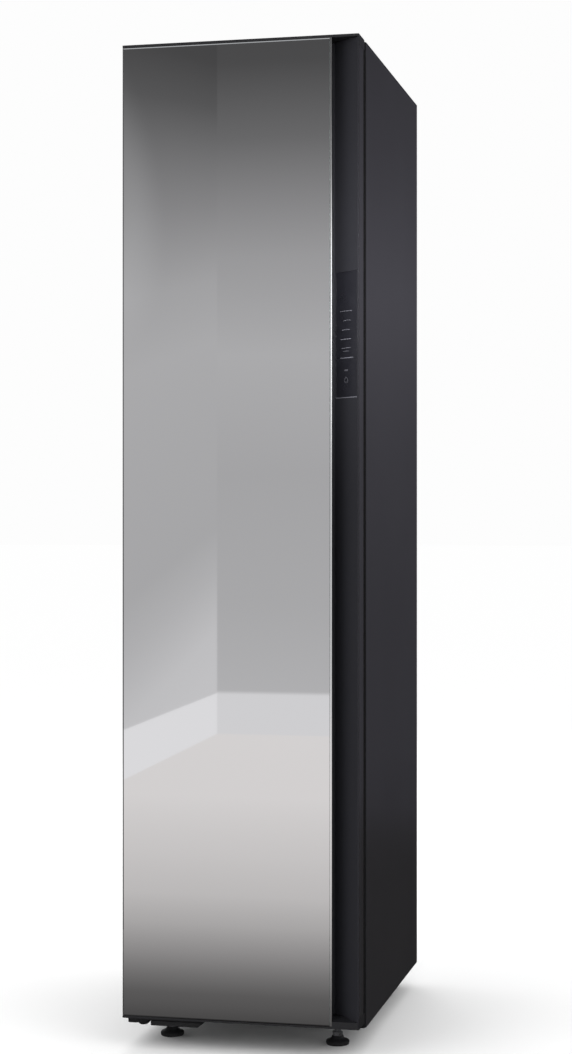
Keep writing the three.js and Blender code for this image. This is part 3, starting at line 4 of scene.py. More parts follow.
import bmesh
import bpy
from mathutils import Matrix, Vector

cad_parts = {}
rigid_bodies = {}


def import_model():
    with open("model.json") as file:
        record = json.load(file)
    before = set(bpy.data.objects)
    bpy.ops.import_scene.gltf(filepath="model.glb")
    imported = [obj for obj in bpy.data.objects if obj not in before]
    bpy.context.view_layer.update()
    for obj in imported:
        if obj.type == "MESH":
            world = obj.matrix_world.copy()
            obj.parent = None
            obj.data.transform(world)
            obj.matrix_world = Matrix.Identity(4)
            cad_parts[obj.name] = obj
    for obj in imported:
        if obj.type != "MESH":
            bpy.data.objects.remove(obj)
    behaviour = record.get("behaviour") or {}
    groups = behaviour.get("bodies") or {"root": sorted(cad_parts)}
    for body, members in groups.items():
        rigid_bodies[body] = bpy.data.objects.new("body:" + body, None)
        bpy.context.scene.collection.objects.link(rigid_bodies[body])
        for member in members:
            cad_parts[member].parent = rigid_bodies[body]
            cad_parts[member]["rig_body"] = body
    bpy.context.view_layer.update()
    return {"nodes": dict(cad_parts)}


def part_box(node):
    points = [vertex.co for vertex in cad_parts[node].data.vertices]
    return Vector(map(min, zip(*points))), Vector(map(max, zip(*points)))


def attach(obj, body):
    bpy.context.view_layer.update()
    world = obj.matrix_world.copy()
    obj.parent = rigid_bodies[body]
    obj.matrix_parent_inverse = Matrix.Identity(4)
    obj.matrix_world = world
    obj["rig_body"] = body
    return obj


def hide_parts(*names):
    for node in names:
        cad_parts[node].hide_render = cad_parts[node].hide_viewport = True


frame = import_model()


# Camera: it stands about three and a half metres in front of the door and a little to the right of it, at
# half the cabinet's height, and looks level, so that the upright edges stay upright.
lens = bpy.data.cameras.new("camera")
lens.sensor_width = 36
lens.lens = 67.26
lens.shift_x = -0.0512
lens.shift_y = -0.0013
camera = bpy.data.objects.new("camera", lens)
camera.location = (0.9201, -3.7891, 0.9640)
camera.rotation_euler = (math.radians(90), 0, math.radians(11.908))
bpy.context.scene.collection.objects.link(camera)
bpy.context.scene.camera = camera
bpy.context.scene.view_settings.view_transform = "Standard"


# Studio: a plain white floor in an even white room. What the mirror and the gloss of the paint give back is
# a second room of plain glowing cards, which only reflections show: grey walls with a pale skirting, a floor,
# a soft patch of light on the left wall, and dark, pale and bright cards beside the cabinet. Shade is painted
# into the
# glow of the cards: the walls darken towards the ceiling and the floor darkens towards the cabinet.
def tint(code):
    """The linear colour of a hexadecimal code."""
    parts = [(code >> shift & 255) / 255 for shift in (16, 8, 0)]
    return [c / 12.92 if c <= 0.04045 else ((c + 0.055) / 1.055) ** 2.4 for c in parts]


def coat(material):
    """The inputs of a material's main shader."""
    return material.node_tree.nodes["Principled BSDF"].inputs


def finish(name, code, roughness, metallic=0.0, **others):
    """A new finish: its colour as a hexadecimal code, and the plain values of its shader."""
    material = bpy.data.materials.new(name)
    material.use_nodes = True
    values = {"Base Color": (*tint(code), 1), "Roughness": roughness, "Metallic": metallic, **others}
    for key, value in values.items():
        coat(material)[key].default_value = value
    return material


def step(tree, kind, wires, **settings):
    """One node of a tree, with each input either wired or set; it gives the node's outputs."""
    made = tree.nodes.new(kind)
    for key, value in settings.items():
        setattr(made, key, value)
    for key, value in wires.items():
        for one in value if isinstance(value, list) else [value]:
            if isinstance(one, bpy.types.NodeSocket):
                tree.links.new(one, made.inputs[key])
            else:
                made.inputs[key].default_value = one
    return made.outputs


def card(name, corners, material, reflected_only=True):
    """A flat card on four corners, for reflections only or for all but reflections."""
    mesh = bpy.data.meshes.new(name)
    mesh.from_pydata(corners, [], [(0, 1, 2, 3)])
    mesh.materials.append(material)
    made = bpy.data.objects.new(name, mesh)
    bpy.context.scene.collection.objects.link(made)
    for sight in ("camera", "diffuse", "transmission", "shadow") if reflected_only else ("glossy",):
        setattr(made, "visible_" + sight, False)


def upright(name, start, end, bottom, top, material):
    """An upright card for reflections, between two places on the floor and two heights."""
    card(name, [(*start, bottom), (*end, bottom), (*end, top), (*start, top)], material)


def unlit(name):
    """A new material that only gives light, and its empty tree."""
    material = bpy.data.materials.new(name)
    material.use_nodes = True
    material.node_tree.nodes.clear()
    return material, material.node_tree


def glowing(name, along, stops, cast=(1, 0.985, 1)):
    """A plain glow that runs in one direction through its stops: a place in metres and a brightness."""
    material, tree = unlit(name)
    low, high = stops[0][0], stops[-1][0]
    where = step(tree, "ShaderNodeTexCoord", {})
    measure = step(tree, "ShaderNodeVectorMath", {0: where["Object"], 1: along}, operation="DOT_PRODUCT")
    reach = step(tree, "ShaderNodeMapRange", {"Value": measure["Value"], "From Min": low, "From Max": high})
    ramp = step(tree, "ShaderNodeValToRGB", {"Fac": reach["Result"]})
    glow = step(tree, "ShaderNodeEmission", {"Color": ramp["Color"]})
    step(tree, "ShaderNodeOutputMaterial", {"Surface": glow["Emission"]})
    elements = ramp["Color"].node.color_ramp.elements
    while len(elements) < len(stops):
        elements.new(0.5)
    for element, (spot, bright) in zip(elements, stops):
        element.position = (spot - low) / (high - low)
        element.color = (*(bright * c for c in cast), 1)
    return material


pale_floor = finish("pale_floor", 0xF6F6F6, 0.9, **{"Specular IOR Level": 0.0})
coat(pale_floor)["Base Color"].default_value = (0.92, 0.92, 0.92, 1)
half = 90
card("studio_floor", [(-half, -half, 0), (half, -half, 0), (half, half, 0), (-half, half, 0)], pale_floor,
     reflected_only=False)

near, far, ceiling, skirting_top = -1.2, -5.64, 4.3, 0.19
left_near, left_far, right = -1.265, -1.516, 3.6
up, back = (0, 0, 1), (0, 1, 0)
# The wall and side cards glow darker towards the ceiling: painted shade.
upright("reflected_wall", (left_far, far), (right, far), 0, ceiling, glowing("wall_card", up, [
    (0, 0.78), (0.185, 0.78), (0.2, 0.54), (0.6, 0.49), (1.2, 0.465), (1.75, 0.51), (2.2, 0.4), (2.75, 0.172),
    (3.1, 0.088), (ceiling, 0.04)]))
side_wall = glowing("side_card", (0, 0.17, 1), [
    (-0.66, 0.67), (-0.48, 0.65), (-0.36, 0.6), (-0.21, 0.54), (0, 0.48), (0.45, 0.49), (0.86, 0.505),
    (1.14, 0.45), (1.49, 0.29), (1.79, 0.172), (1.94, 0.115), (2.14, 0.077), (3.4, 0.03)])
skirting = glowing("skirting_card", up, [(0, 0.88), (skirting_top, 0.88)])
for name, near_x, far_x in (("left", left_near, left_far), ("right", right, right)):
    upright("reflected_" + name, (near_x, near), (far_x, far), skirting_top, ceiling, side_wall)
    upright(name + "_skirting", (near_x, near), (far_x, far), 0, skirting_top, skirting)

patch_y, patch_z, patch_length, patch_height = -3.58, 2.15, 1.08, 0.62
patch_full, patch_bright = 0.6, 0.07
patch_near, patch_far, patch_foot, patch_head = (-1.323, -2.4), (-1.456, -4.75), 1.5, 2.95
light_patch, tree = unlit("light_patch")
where = step(tree, "ShaderNodeTexCoord", {})
round_middle = step(tree, "ShaderNodeMapping", {
    "Vector": where["Object"], "Scale": (0, 1 / patch_length, 1 / patch_height),
    "Location": (0, -patch_y / patch_length, -patch_z / patch_height)})
fade = step(tree, "ShaderNodeTexGradient", {"Vector": round_middle["Vector"]}, gradient_type="SPHERICAL")
reach = step(tree, "ShaderNodeMapRange", {"Value": fade["Fac"], "From Max": patch_full,
                                          "To Max": patch_bright}, interpolation_type="SMOOTHSTEP")
glow = step(tree, "ShaderNodeEmission", {"Strength": reach["Result"]})
clear = step(tree, "ShaderNodeBsdfTransparent", {})
added = step(tree, "ShaderNodeAddShader", {0: glow["Emission"], 1: clear["BSDF"]})
step(tree, "ShaderNodeOutputMaterial", {"Surface": added["Shader"]})
upright("reflected_light_patch", patch_near, patch_far, patch_foot, patch_head, light_patch)

floor_cast, flag_cast, just_above = (1.03, 0.99, 0.98), (1, 0.975, 1.16), 0.001
# The reflected floor glows darker towards the cabinet: a painted shadow of the cabinet.
card("reflected_floor", [(x, y, just_above) for x, y in ((-3, far), (4, far), (4, 4), (-3, 4))],
     glowing("floor_card", back, [(far, 0.8), (-3.6, 0.79), (-2.94, 0.735), (-2.4, 0.685), (-1.8, 0.605),
                                  (-1.43, 0.476), (-1.11, 0.31), (-0.92, 0.205), (-0.75, 0.126),
                                  (-0.65, 0.108), (-0.4, 0.04), (4, 0.03)], floor_cast))
shade_start, shade_end, shade_top = (-1.2, -1.2), (-1.1, 0.6), 3
upright("reflected_shade", shade_start, shade_end, 0, shade_top,
        glowing("shade_card", up, [(0, 0.05), (1.5, 0.12), (shade_top, 0.05)]))
flag_start, flag_fold, flag_end, flag_top = (0.3, 2.6), (0.66, 2.5), (2.6, 1.9), 3.2
upright("dark_flag", flag_start, flag_fold, 0, flag_top, glowing("flag_card", up, [
    (0, 0.05), (0.7, 0.06), (1.2, 0.09), (1.7, 0.15), (2.2, 0.08), (flag_top, 0.02)], flag_cast))
upright("pale_flag", flag_fold, flag_end, 0, flag_top, glowing("pale_flag_card", up, [
    (0, 0.09), (0.7, 0.1), (1.2, 0.13), (1.7, 0.22), (2.2, 0.12), (flag_top, 0.03)], flag_cast))
glint_start, glint_end, glint_foot, glint_top = (0.33, -0.97), (0.47, -0.93), 0.6, 1.85
upright("reflected_glint", glint_start, glint_end, glint_foot, glint_top, glowing("glint_card", up, [
    (glint_foot, 0.66), (0.8, 0.7), (1.1, 0.85), (1.25, 1.6), (1.45, 2.2), (1.6, 1.4), (1.7, 0.5),
    (glint_top, 0.12)], (1, 1, 1)))

world = bpy.data.worlds.new("studio")
world.use_nodes = True
bpy.context.scene.world = world
sky = world.node_tree
even = sky.nodes["Background"]
even.inputs["Color"].default_value = (1, 1, 1, 1)
even.inputs["Strength"].default_value = 1.08
dim = step(sky, "ShaderNodeBackground", {"Color": (0.96, 0.98, 1, 1), "Strength": 0.5})
plain = step(sky, "ShaderNodeBackground", {"Color": (1, 1, 1, 1), "Strength": 0.982})
ray = step(sky, "ShaderNodeLightPath", {})
reflected = step(sky, "ShaderNodeMixShader", {0: ray["Is Glossy Ray"], 1: even.outputs[0], 2: dim[0]})
seen = step(sky, "ShaderNodeMixShader", {0: ray["Is Camera Ray"], 1: reflected[0], 2: plain[0]})
sky.links.new(seen[0], sky.nodes["World Output"].inputs["Surface"])

for name, spot, aim, size, power, spread in (
    ("soft_light_left", (-2.4, -3.2, 2.6), (0, 0, 0.9), 2.6, 40, 180),
    ("soft_light_right", (3.0, -2.4, 2.6), (0, 0, 0.9), 2.2, 20, 180),
    ("soft_light_back", (-0.6, 3.4, 3.2), (0, 0, 0.9), 2.4, 40, 180),
    ("grip_light", (0.32, -0.80, 1.42), (0.2, -0.28, 1.42), 0.2, 1.0, 80),
):
    light = bpy.data.lights.new(name, "AREA")
    light.size = size
    light.energy = power
    light.spread = math.radians(spread)
    lamp = bpy.data.objects.new(name, light)
    lamp.location = spot
    lamp.rotation_euler = (Vector(aim) - Vector(spot)).to_track_quat("-Z", "Y").to_euler()
    lamp.visible_glossy = False
    lamp.visible_camera = False
    bpy.context.scene.collection.objects.link(lamp)


# Base pan: the zinc-coated steel tray that the cabinet is built up from. It is pressed from sheet, with
# threaded bosses welded in for the feet and studs for the compressor.
def pattern(material, scale, stretch=(1, 1, 1), kind="ShaderNodeTexNoise", **inputs):
    """A texture on the piece's own coordinates, with its scale in cycles a metre."""
    tree = material.node_tree
    where = step(tree, "ShaderNodeTexCoord", {})
    drawn_out = step(tree, "ShaderNodeMapping", {"Vector": where["Object"], "Scale": stretch})
    texture = step(tree, kind, {"Vector": drawn_out["Vector"], "Scale": scale, **inputs})
    return texture.get("Fac") or texture[0]


def tones(material, texture, dark, light, low=0.35, high=0.65):
    """The colour runs from dark to light as the texture goes from low to high."""
    tree = material.node_tree
    ramp = step(tree, "ShaderNodeValToRGB", {"Fac": texture})
    elements = ramp["Color"].node.color_ramp.elements
    for element, spot, code in zip(elements, (low, high), (dark, light)):
        element.position = spot
        element.color = (*tint(code), 1)
    tree.links.new(ramp["Color"], coat(material)["Base Color"])


def gloss(material, texture, least, most, low=0.3, high=0.7):
    """The roughness runs from least to most with the texture."""
    tree = material.node_tree
    reach = step(tree, "ShaderNodeMapRange", {"Value": texture, "From Min": low, "From Max": high,
                                              "To Min": least, "To Max": most})
    tree.links.new(reach["Result"], coat(material)["Roughness"])


def relief(material, texture, height, strength):
    """A bump of that height in metres."""
    tree = material.node_tree
    bump = step(tree, "ShaderNodeBump", {"Height": texture, "Distance": height, "Strength": strength})
    tree.links.new(bump["Normal"], coat(material)["Normal"])


def meshed(shape, name, *materials):
    """A new piece in its materials, from a shape that is then done with."""
    mesh = bpy.data.meshes.new(name)
    shape.to_mesh(mesh)
    shape.free()
    for material in materials:
        mesh.materials.append(material)
    piece = bpy.data.objects.new(name, mesh)
    bpy.context.scene.collection.objects.link(piece)
    return piece


def settle(piece):
    """The piece's modifiers are worked into a plain mesh."""
    view = bpy.context.evaluated_depsgraph_get()
    view.update()
    worked = bpy.data.meshes.new_from_object(piece.evaluated_get(view))
    piece.modifiers.clear()
    piece.data = worked


def place(piece, body, node=None):
    """The piece rides on its body, in place of a node where one is named."""
    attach(piece, body)
    if node:
        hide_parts(node)


weld, flat_angle, edge_angle = 0.00001, 0.01, math.radians(35)


def dress(material, width, *nodes, segments=2):
    """Each node's own shape with its sharp edges rounded by width, in this material, in place of the node."""
    for node in nodes:
        bare = frame["nodes"][node]
        shape = bmesh.new()
        shape.from_mesh(bare.data)
        bmesh.ops.remove_doubles(shape, verts=shape.verts[:], dist=weld)
        bmesh.ops.dissolve_limit(shape, angle_limit=flat_angle, verts=shape.verts[:], edges=shape.edges[:])
        for face in shape.faces:
            face.smooth = True
            face.material_index = 0
        piece = meshed(shape, node + "_finished", material)
        rounding = piece.modifiers.new("rounding", "BEVEL")
        rounding.width = width
        rounding.segments = segments
        rounding.limit_method = "ANGLE"
        rounding.angle_limit = edge_angle
        rounding.use_clamp_overlap = False
        piece.modifiers.new("even_shading", "WEIGHTED_NORMAL").keep_sharp = True
        settle(piece)
        low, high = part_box(node)
        for vert in piece.data.vertices:
            vert.co = [min(max(vert.co[axis], low[axis]), high[axis]) for axis in range(3)]
        place(piece, bare["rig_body"], node)


zinc = finish("zinc_coated_sheet", 0xA9ADB0, 0.42, 1.0)
tones(zinc, pattern(zinc, 46, Detail=5.0, Roughness=0.7), 0x9DA1A5, 0xB7BABD)
gloss(zinc, pattern(zinc, 26, Detail=4.0), 0.34, 0.5)
relief(zinc, pattern(zinc, 210, Detail=3.0), 0.0002, 0.2)
dress(zinc, 0.0005, "base_pan")


# Levelling feet: each is a nylon pad moulded on a zinc-plated screw with a hexagon for the spanner. It is
# turned from the front to set the cabinet level.
def graph(name, *sizes):
    """A geometry tree with named inputs for its sizes and its material."""
    tree = bpy.data.node_groups.new(name, "GeometryNodeTree")
    tree.is_modifier = True
    tree.interface.new_socket("Geometry", in_out="INPUT", socket_type="NodeSocketGeometry")
    for size in sizes:
        tree.interface.new_socket(size, in_out="INPUT", socket_type="NodeSocketFloat")
    tree.interface.new_socket("Material", in_out="INPUT", socket_type="NodeSocketMaterial")
    tree.interface.new_socket("Geometry", in_out="OUTPUT", socket_type="NodeSocketGeometry")
    return tree, tree.nodes.new("NodeGroupInput").outputs


def figure(tree, first, operation, second):
    """What a number of a tree comes to with another."""
    return step(tree, "ShaderNodeMath", {0: first, 1: second}, operation=operation)[0]


def triple(tree, x=0.0, y=0.0, z=0.0):
    """Three numbers of a tree as one vector."""
    return step(tree, "ShaderNodeCombineXYZ", {"X": x, "Y": y, "Z": z})[0]


def swept(tree, curve, sides, radius, capped=True):
    """A bar with so many sides along a curve of a tree."""
    section = step(tree, "GeometryNodeCurvePrimitiveCircle", {"Resolution": sides, "Radius": radius})
    return step(tree, "GeometryNodeCurveToMesh", {"Curve": curve, "Profile Curve": section[0],
                                                  "Fill Caps": capped})[0]


def close(tree, shape, material):
    """The end of each tree: its instances made real, in the material that it is given."""
    real = step(tree, "GeometryNodeRealizeInstances", {"Geometry": shape})
    coated = step(tree, "GeometryNodeSetMaterial", {"Geometry": real[0], "Material": material})
    tree.links.new(coated[0], tree.nodes.new("NodeGroupOutput").inputs[0])


def repeated(tree, points, shape, material, **more):
    """The end of a tree that puts a copy of its shape on each point."""
    copies = step(tree, "GeometryNodeInstanceOnPoints", {"Points": points, "Instance": shape, **more})
    close(tree, copies[0], material)


def grow(name, tree, material, body, slot, points, edges=(), facing=None, node=None, **sizes):
    """A piece that a tree makes on points or along edges; facing is the way out of the surface there."""
    mesh = bpy.data.meshes.new(name)
    mesh.from_pydata(points, edges, [])
    if facing:
        way = mesh.attributes.new("facing", "FLOAT_VECTOR", "POINT")
        way.data.foreach_set("vector", [c for _ in points for c in facing])
    piece = bpy.data.objects.new(name, mesh)
    bpy.context.scene.collection.objects.link(piece)
    worked = piece.modifiers.new(tree.name, "NODES")
    worked.node_group = tree
    given = {"Material": material, **sizes}
    for item in tree.interface.items_tree:
        if item.in_out == "INPUT" and item.name in given:
            worked[item.identifier] = given[item.name]
    settle(piece)
    place(piece, body, node)


def turned(name, material, body, profile, centre, steps, node=None):
    """A turned piece: its profile is radius and height, and its axis stands on centre."""
    shape = bmesh.new()
    points = [shape.verts.new((radius, 0, height)) for radius, height in profile]
    for pair in zip(points, points[1:]):
        shape.edges.new(pair)
    bmesh.ops.spin(shape, geom=shape.verts[:] + shape.edges[:], cent=(0, 0, 0), axis=(0, 0, 1),
                   angle=2 * math.pi, steps=steps, use_duplicate=False)
    bmesh.ops.remove_doubles(shape, verts=shape.verts[:], dist=weld)
    bmesh.ops.recalc_face_normals(shape, faces=shape.faces[:])
    for face in shape.faces:
        face.smooth = True
    bmesh.ops.translate(shape, vec=(*centre, 0), verts=shape.verts[:])
    piece = meshed(shape, name, material)
    piece.data.set_sharp_from_angle(angle=edge_angle)
    place(piece, body, node)


nylon = finish("glass_filled_nylon", 0x1B1B1D, 0.5)
tones(nylon, pattern(nylon, 340, Detail=3.0), 0x151517, 0x222225)
gloss(nylon, pattern(nylon, 120, Detail=2.0), 0.44, 0.56)
relief(nylon, pattern(nylon, 1500, Detail=2.0), 0.00006, 0.6)
plated = finish("zinc_plated_steel", 0xB4B6B8, 0.32, 1.0)
tones(plated, pattern(plated, 90, Detail=4.0), 0xA6A8AB, 0xBEC0C2)
gloss(plated, pattern(plated, 120, (1, 1, 6), Detail=4.0), 0.24, 0.42)
relief(plated, pattern(plated, 700, Detail=2.0), 0.00004, 0.4)

thread, size = graph("screw_thread", "Radius", "Height", "Pitch")
coil = step(thread, "GeometryNodeCurveSpiral", {
    "Resolution": 20, "Rotations": figure(thread, size["Height"], "DIVIDE", size["Pitch"]),
    "Height": size["Height"], "Start Radius": size["Radius"], "End Radius": size["Radius"]})
ridge = swept(thread, coil[0], 4, figure(thread, size["Pitch"], "MULTIPLY", 0.55))
repeated(thread, size["Geometry"], ridge, size["Material"])

pad_top, hexagon_top, hexagon_radius, chamfer = 0.0160, 0.0240, 0.0098, 0.0008
rod_foot, rod_radius, rod_tip = 0.0150, 0.0052, 0.0006
thread_foot, thread_end, thread_radius = 0.0245, 0.001, 0.0051
pad = [(0, 0), (0.0202, 0), (0.0212, 0.0008), (0.0215, 0.0022), (0.0209, 0.0026), (0.0209, 0.0032),
       (0.0218, 0.0037), (0.0218, 0.0066), (0.0205, 0.0082), (0.0150, 0.0102), (0.0118, 0.0128),
       (0.0108, pad_top), (0, pad_top)]
hexagon = [(0, pad_top), (hexagon_radius - chamfer, pad_top), (hexagon_radius, pad_top + chamfer),
           (hexagon_radius, hexagon_top - chamfer), (hexagon_radius - chamfer, hexagon_top), (0, hexagon_top)]
for corner in ("front_left", "front_right", "rear_left", "rear_right"):
    node = "foot_" + corner
    low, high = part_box(node)
    x, y = (low.x + high.x) / 2, (low.y + high.y) / 2
    rod = [(0, rod_foot), (rod_radius, rod_foot), (rod_radius, high.z - rod_tip),
           (rod_radius - chamfer, high.z), (0, high.z)]
    turned(node + "_pad", nylon, node, pad, (x, y), 36, node)
    turned(node + "_rod", plated, node, rod, (x, y), 20)
    turned(node + "_hexagon", plated, node, hexagon, (x, y), 6)
    grow(node + "_thread", thread, plated, node, "steel", [(x, y, thread_foot)],
         Radius=thread_radius, Height=high.z - thread_foot - thread_end, Pitch=0.00175)


# Side panels: prepainted steel sheet, folded round a generous front edge and returned at the back. The paint
# is a satin charcoal with a very fine metal flake. A black strip on the front fold is painted shadow: it
# stands for the shade in the gap between the door and the cabinet.
charcoal = finish("charcoal_paint", 0x232226, 0.30, **{"Specular IOR Level": 0.4})
tones(charcoal, pattern(charcoal, 1500, Detail=1.0), 0x201F23, 0x262529)
gloss(charcoal, pattern(charcoal, 3, Detail=1.0), 0.28, 0.31)
relief(charcoal, pattern(charcoal, 900, Detail=1.0), 0.00002, 0.3)
dress(charcoal, 0.0005, "side_panel_left", "side_panel_right")
# Painted shadow: a black strip on the front fold, where the gap between door and cabinet lies in shade.
painted_gap_shadow = finish("painted_gap_shadow_strip", 0x121213, 0.6, **{"Specular IOR Level": 0.1})
tones(painted_gap_shadow, pattern(painted_gap_shadow, 200, Detail=3.0), 0x0F0F10, 0x161617)
relief(painted_gap_shadow, pattern(painted_gap_shadow, 900, Detail=2.0), 0.00004, 0.4)
strip_back, turned_forward = -0.2495, -0.25
for hand in ("left", "right"):
    panel = bpy.data.objects["side_panel_" + hand + "_finished"].data
    panel.materials.append(painted_gap_shadow)
    for face in panel.polygons:
        if face.normal.y < turned_forward and face.center.y < strip_back:
            face.material_index = 1


# Back panel: zinc-coated sheet with three pressed stiffening beads, vented beside the compressor and the
# blower, and held by pan-head screws through the returns of the side panels.
galvanised = finish("galvanised_sheet", 0xB9BDC0, 0.4, 0.85)
flower = pattern(galvanised, 105, kind="ShaderNodeTexVoronoi", Randomness=1.0).node.outputs["Color"]
tones(galvanised, flower, 0xA9ADB1, 0xC3C6C9, 0.15, 0.85)
gloss(galvanised, flower, 0.34, 0.48, 0.1, 0.9)
relief(galvanised, pattern(galvanised, 240, Detail=3.0), 0.0001, 0.2)
dress(galvanised, 0.0005, "back_panel")

screw, size = graph("pan_head_screw", "Radius", "Height", "Recess")
ball = step(screw, "GeometryNodeMeshUVSphere", {"Segments": 18, "Rings": 8, "Radius": size["Radius"]})
flat = triple(screw, 1, 1, figure(screw, size["Height"], "DIVIDE", size["Radius"]))
dome = step(screw, "GeometryNodeTransform", {"Geometry": ball[0], "Scale": flat})
slot_length = figure(screw, size["Radius"], "MULTIPLY", 1.15)
under = figure(screw, size["Radius"], "MULTIPLY", 3)
cutters = []
for box, middle in (
    ((slot_length, size["Recess"], size["Height"]), size["Height"]),
    ((size["Recess"], slot_length, size["Height"]), size["Height"]),
    ((under, under, under), figure(screw, under, "MULTIPLY", -0.5)),
):
    block = step(screw, "GeometryNodeMeshCube", {"Size": triple(screw, *box)})
    cutters.append(step(screw, "GeometryNodeTransform", {"Geometry": block[0],
                                                         "Translation": triple(screw, z=middle)})[0])
head = step(screw, "GeometryNodeMeshBoolean", {"Mesh 1": dome[0], "Mesh 2": cutters}, operation="DIFFERENCE")
way = step(screw, "GeometryNodeInputNamedAttribute", {"Name": "facing"}, data_type="FLOAT_VECTOR")
outward = step(screw, "FunctionNodeAlignRotationToVector", {"Vector": way[0]}, axis="Z")
heads = step(screw, "GeometryNodeInstanceOnPoints", {"Points": size["Geometry"], "Instance": head[0],
                                                     "Rotation": outward[0]})
chance = step(screw, "FunctionNodeRandomValue", {"Min": (0, 0, 0), "Max": (0, 0, 3.14), "Seed": 7},
              data_type="FLOAT_VECTOR")
spun = step(screw, "GeometryNodeRotateInstances", {"Instances": heads[0], "Rotation": chance[0]})
close(screw, spun[0], size["Material"])


def screws(name, points, facing, radius, height, recess):
    """Pan-head screws of the cabinet, with their heads on the surface at the points."""
    grow(name, screw, plated, "cabinet", "steel", points, facing=facing, Radius=radius, Height=height,
         Recess=recess)


forward = (0, -1, 0)
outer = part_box("side_panel_right")[1]
screw_inset, lowest_screw, screw_step = 0.006, 0.084, 0.249
screws("back_screws", [(side * (outer.x - screw_inset), outer.y, lowest_screw + screw_step * i)
                       for side in (-1, 1) for i in range(8)], back, 0.0042, 0.0022, 0.0011)


# Top cover: the same painted steel as the side panels, folded down at its edges and set between them.
# Its fold at the front closes the gap above the front frame.
dress(charcoal, 0.0005, "top_cover")


# Front frame and kick panel: large black mouldings that the side panels hook onto, with the windows for the
# chamber and the tank bay and slots for the air. Their faces are lightly textured in the mould.
black = finish("black_moulding", 0x1D1D20, 0.42)
tones(black, pattern(black, 520, Detail=3.0), 0x1B1B1E, 0x202023)
gloss(black, pattern(black, 45, Detail=2.0), 0.36, 0.46)
relief(black, pattern(black, 1300, Detail=3.0), 0.00005, 0.5)
dress(black, 0.001, "front_frame", "kick_panel")
low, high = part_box("kick_panel")
kick_screw = 0.172
screws("kick_screws", [(x, low.y, (low.z + high.z) / 2) for x in (-kick_screw, kick_screw)], forward,
       0.0036, 0.0019, 0.001)


# Inlet gland and rear spacers: a moulded bush for the mains lead and two buffers that keep the cabinet off
# the wall, all pushed into the back panel.
dress(nylon, 0.0008, "inlet_gland", "rear_spacer_left", "rear_spacer_right")


# Hinges: steel plates with turned pins, screwed to the front frame. The upper one is zinc plated; the lower
# one is black, carries the door's weight and has an adjusting nut, beside a moulded shoe.
dress(plated, 0.0006, "upper_hinge")
stove = finish("black_stove_enamel", 0x17171A, 0.38)
tones(stove, pattern(stove, 120, Detail=3.0), 0x131315, 0x1D1D20)
gloss(stove, pattern(stove, 70, Detail=2.0), 0.33, 0.43)
relief(stove, pattern(stove, 500, Detail=3.0), 0.00008, 0.4)
dress(stove, 0.0004, "lower_hinge")
dress(nylon, 0.0015, "hinge_shoe", segments=3)
plate_face, screw_columns, screw_heights = -0.2583, (-0.209, -0.182), (0.073, 1.824)
screws("hinge_screws", [(x, plate_face, z) for x in screw_columns for z in screw_heights],
       forward, 0.0046, 0.0024, 0.0012)


# Chamber liners: pale grey moulded walls, ribbed so that clothes don't cling, with a guide for the shelf and
# a socket for the rail. The back one carries the duct cover and the return louvres.
pale = finish("pale_grey_moulding", 0xCFCFCC, 0.45, **{"Subsurface Weight": 0.03})
tones(pale, pattern(pale, 420, Detail=2.0), 0xCCCCC9, 0xD2D2CF)
gloss(pale, pattern(pale, 90, Detail=2.0), 0.42, 0.48)
relief(pale, pattern(pale, 1100, Detail=3.0), 0.00006, 0.6)
dress(pale, 0.001, "liner_left", "liner_right", "liner_back", "liner_ceiling")


# Chamber floor: a mid-grey moulding over the machinery, with the well for the lint filter and the low slotted
# dome where the steam comes in.
grey = finish("mid_grey_moulding", 0x7E8083, 0.5)
tones(grey, pattern(grey, 380, Detail=2.0), 0x7A7C7F, 0x838588)
gloss(grey, pattern(grey, 80, Detail=2.0), 0.46, 0.54)
relief(grey, pattern(grey, 900, Detail=3.0), 0.00008, 0.6)
dress(grey, 0.001, "chamber_floor", "steam_outlet")


# Insulation and air ducts: moulded bead foam behind the liners. The rear duct carries air up from the blower
# and the ceiling duct spreads it over the nozzles.
foam = finish("bead_foam", 0xDEDEDA, 0.85)
beads = pattern(foam, 260, kind="ShaderNodeTexVoronoi", Randomness=0.8)
tones(foam, beads, 0xE6E6E2, 0xD0D0CC, 0.0, 0.7)
gloss(foam, beads, 0.78, 0.9, 0.0, 0.7)
relief(foam, beads, 0.0006, 0.6)
dress(foam, 0.0015, "insulation_left", "insulation_right", "rear_air_duct", "ceiling_duct", segments=3)


# Hanger rail: a turned stainless bar, brushed along its length, with a groove for each hook.
# It drops into the sockets of the side liners.
stainless = finish("brushed_stainless", 0xC9CBCD, 0.28, 1.0)
tones(stainless, pattern(stainless, 40, (0.3, 1, 1), Detail=3.0), 0xBFC1C4, 0xD2D4D6)
gloss(stainless, pattern(stainless, 600, (0.04, 1, 1), Detail=3.0), 0.2, 0.38)
relief(stainless, pattern(stainless, 1600, (0.03, 1, 1), Detail=2.0), 0.00003, 0.35)
dress(stainless, 0.0006, "hanger_rail")


# Hangers: each is one black moulding with a hook that runs in the rail's groove. Soft ribbed strips are
# moulded onto its shoulders so that a garment stays put.
hanger_black = finish("hanger_moulding", 0x2B2C2F, 0.46)
tones(hanger_black, pattern(hanger_black, 90, Detail=3.0), 0x252629, 0x313236)
gloss(hanger_black, pattern(hanger_black, 50, Detail=2.0), 0.4, 0.5)
relief(hanger_black, pattern(hanger_black, 1200, Detail=3.0), 0.00007, 0.6)
dress(hanger_black, 0.0015, "hanger_left", "hanger_middle", "hanger_right", segments=3)

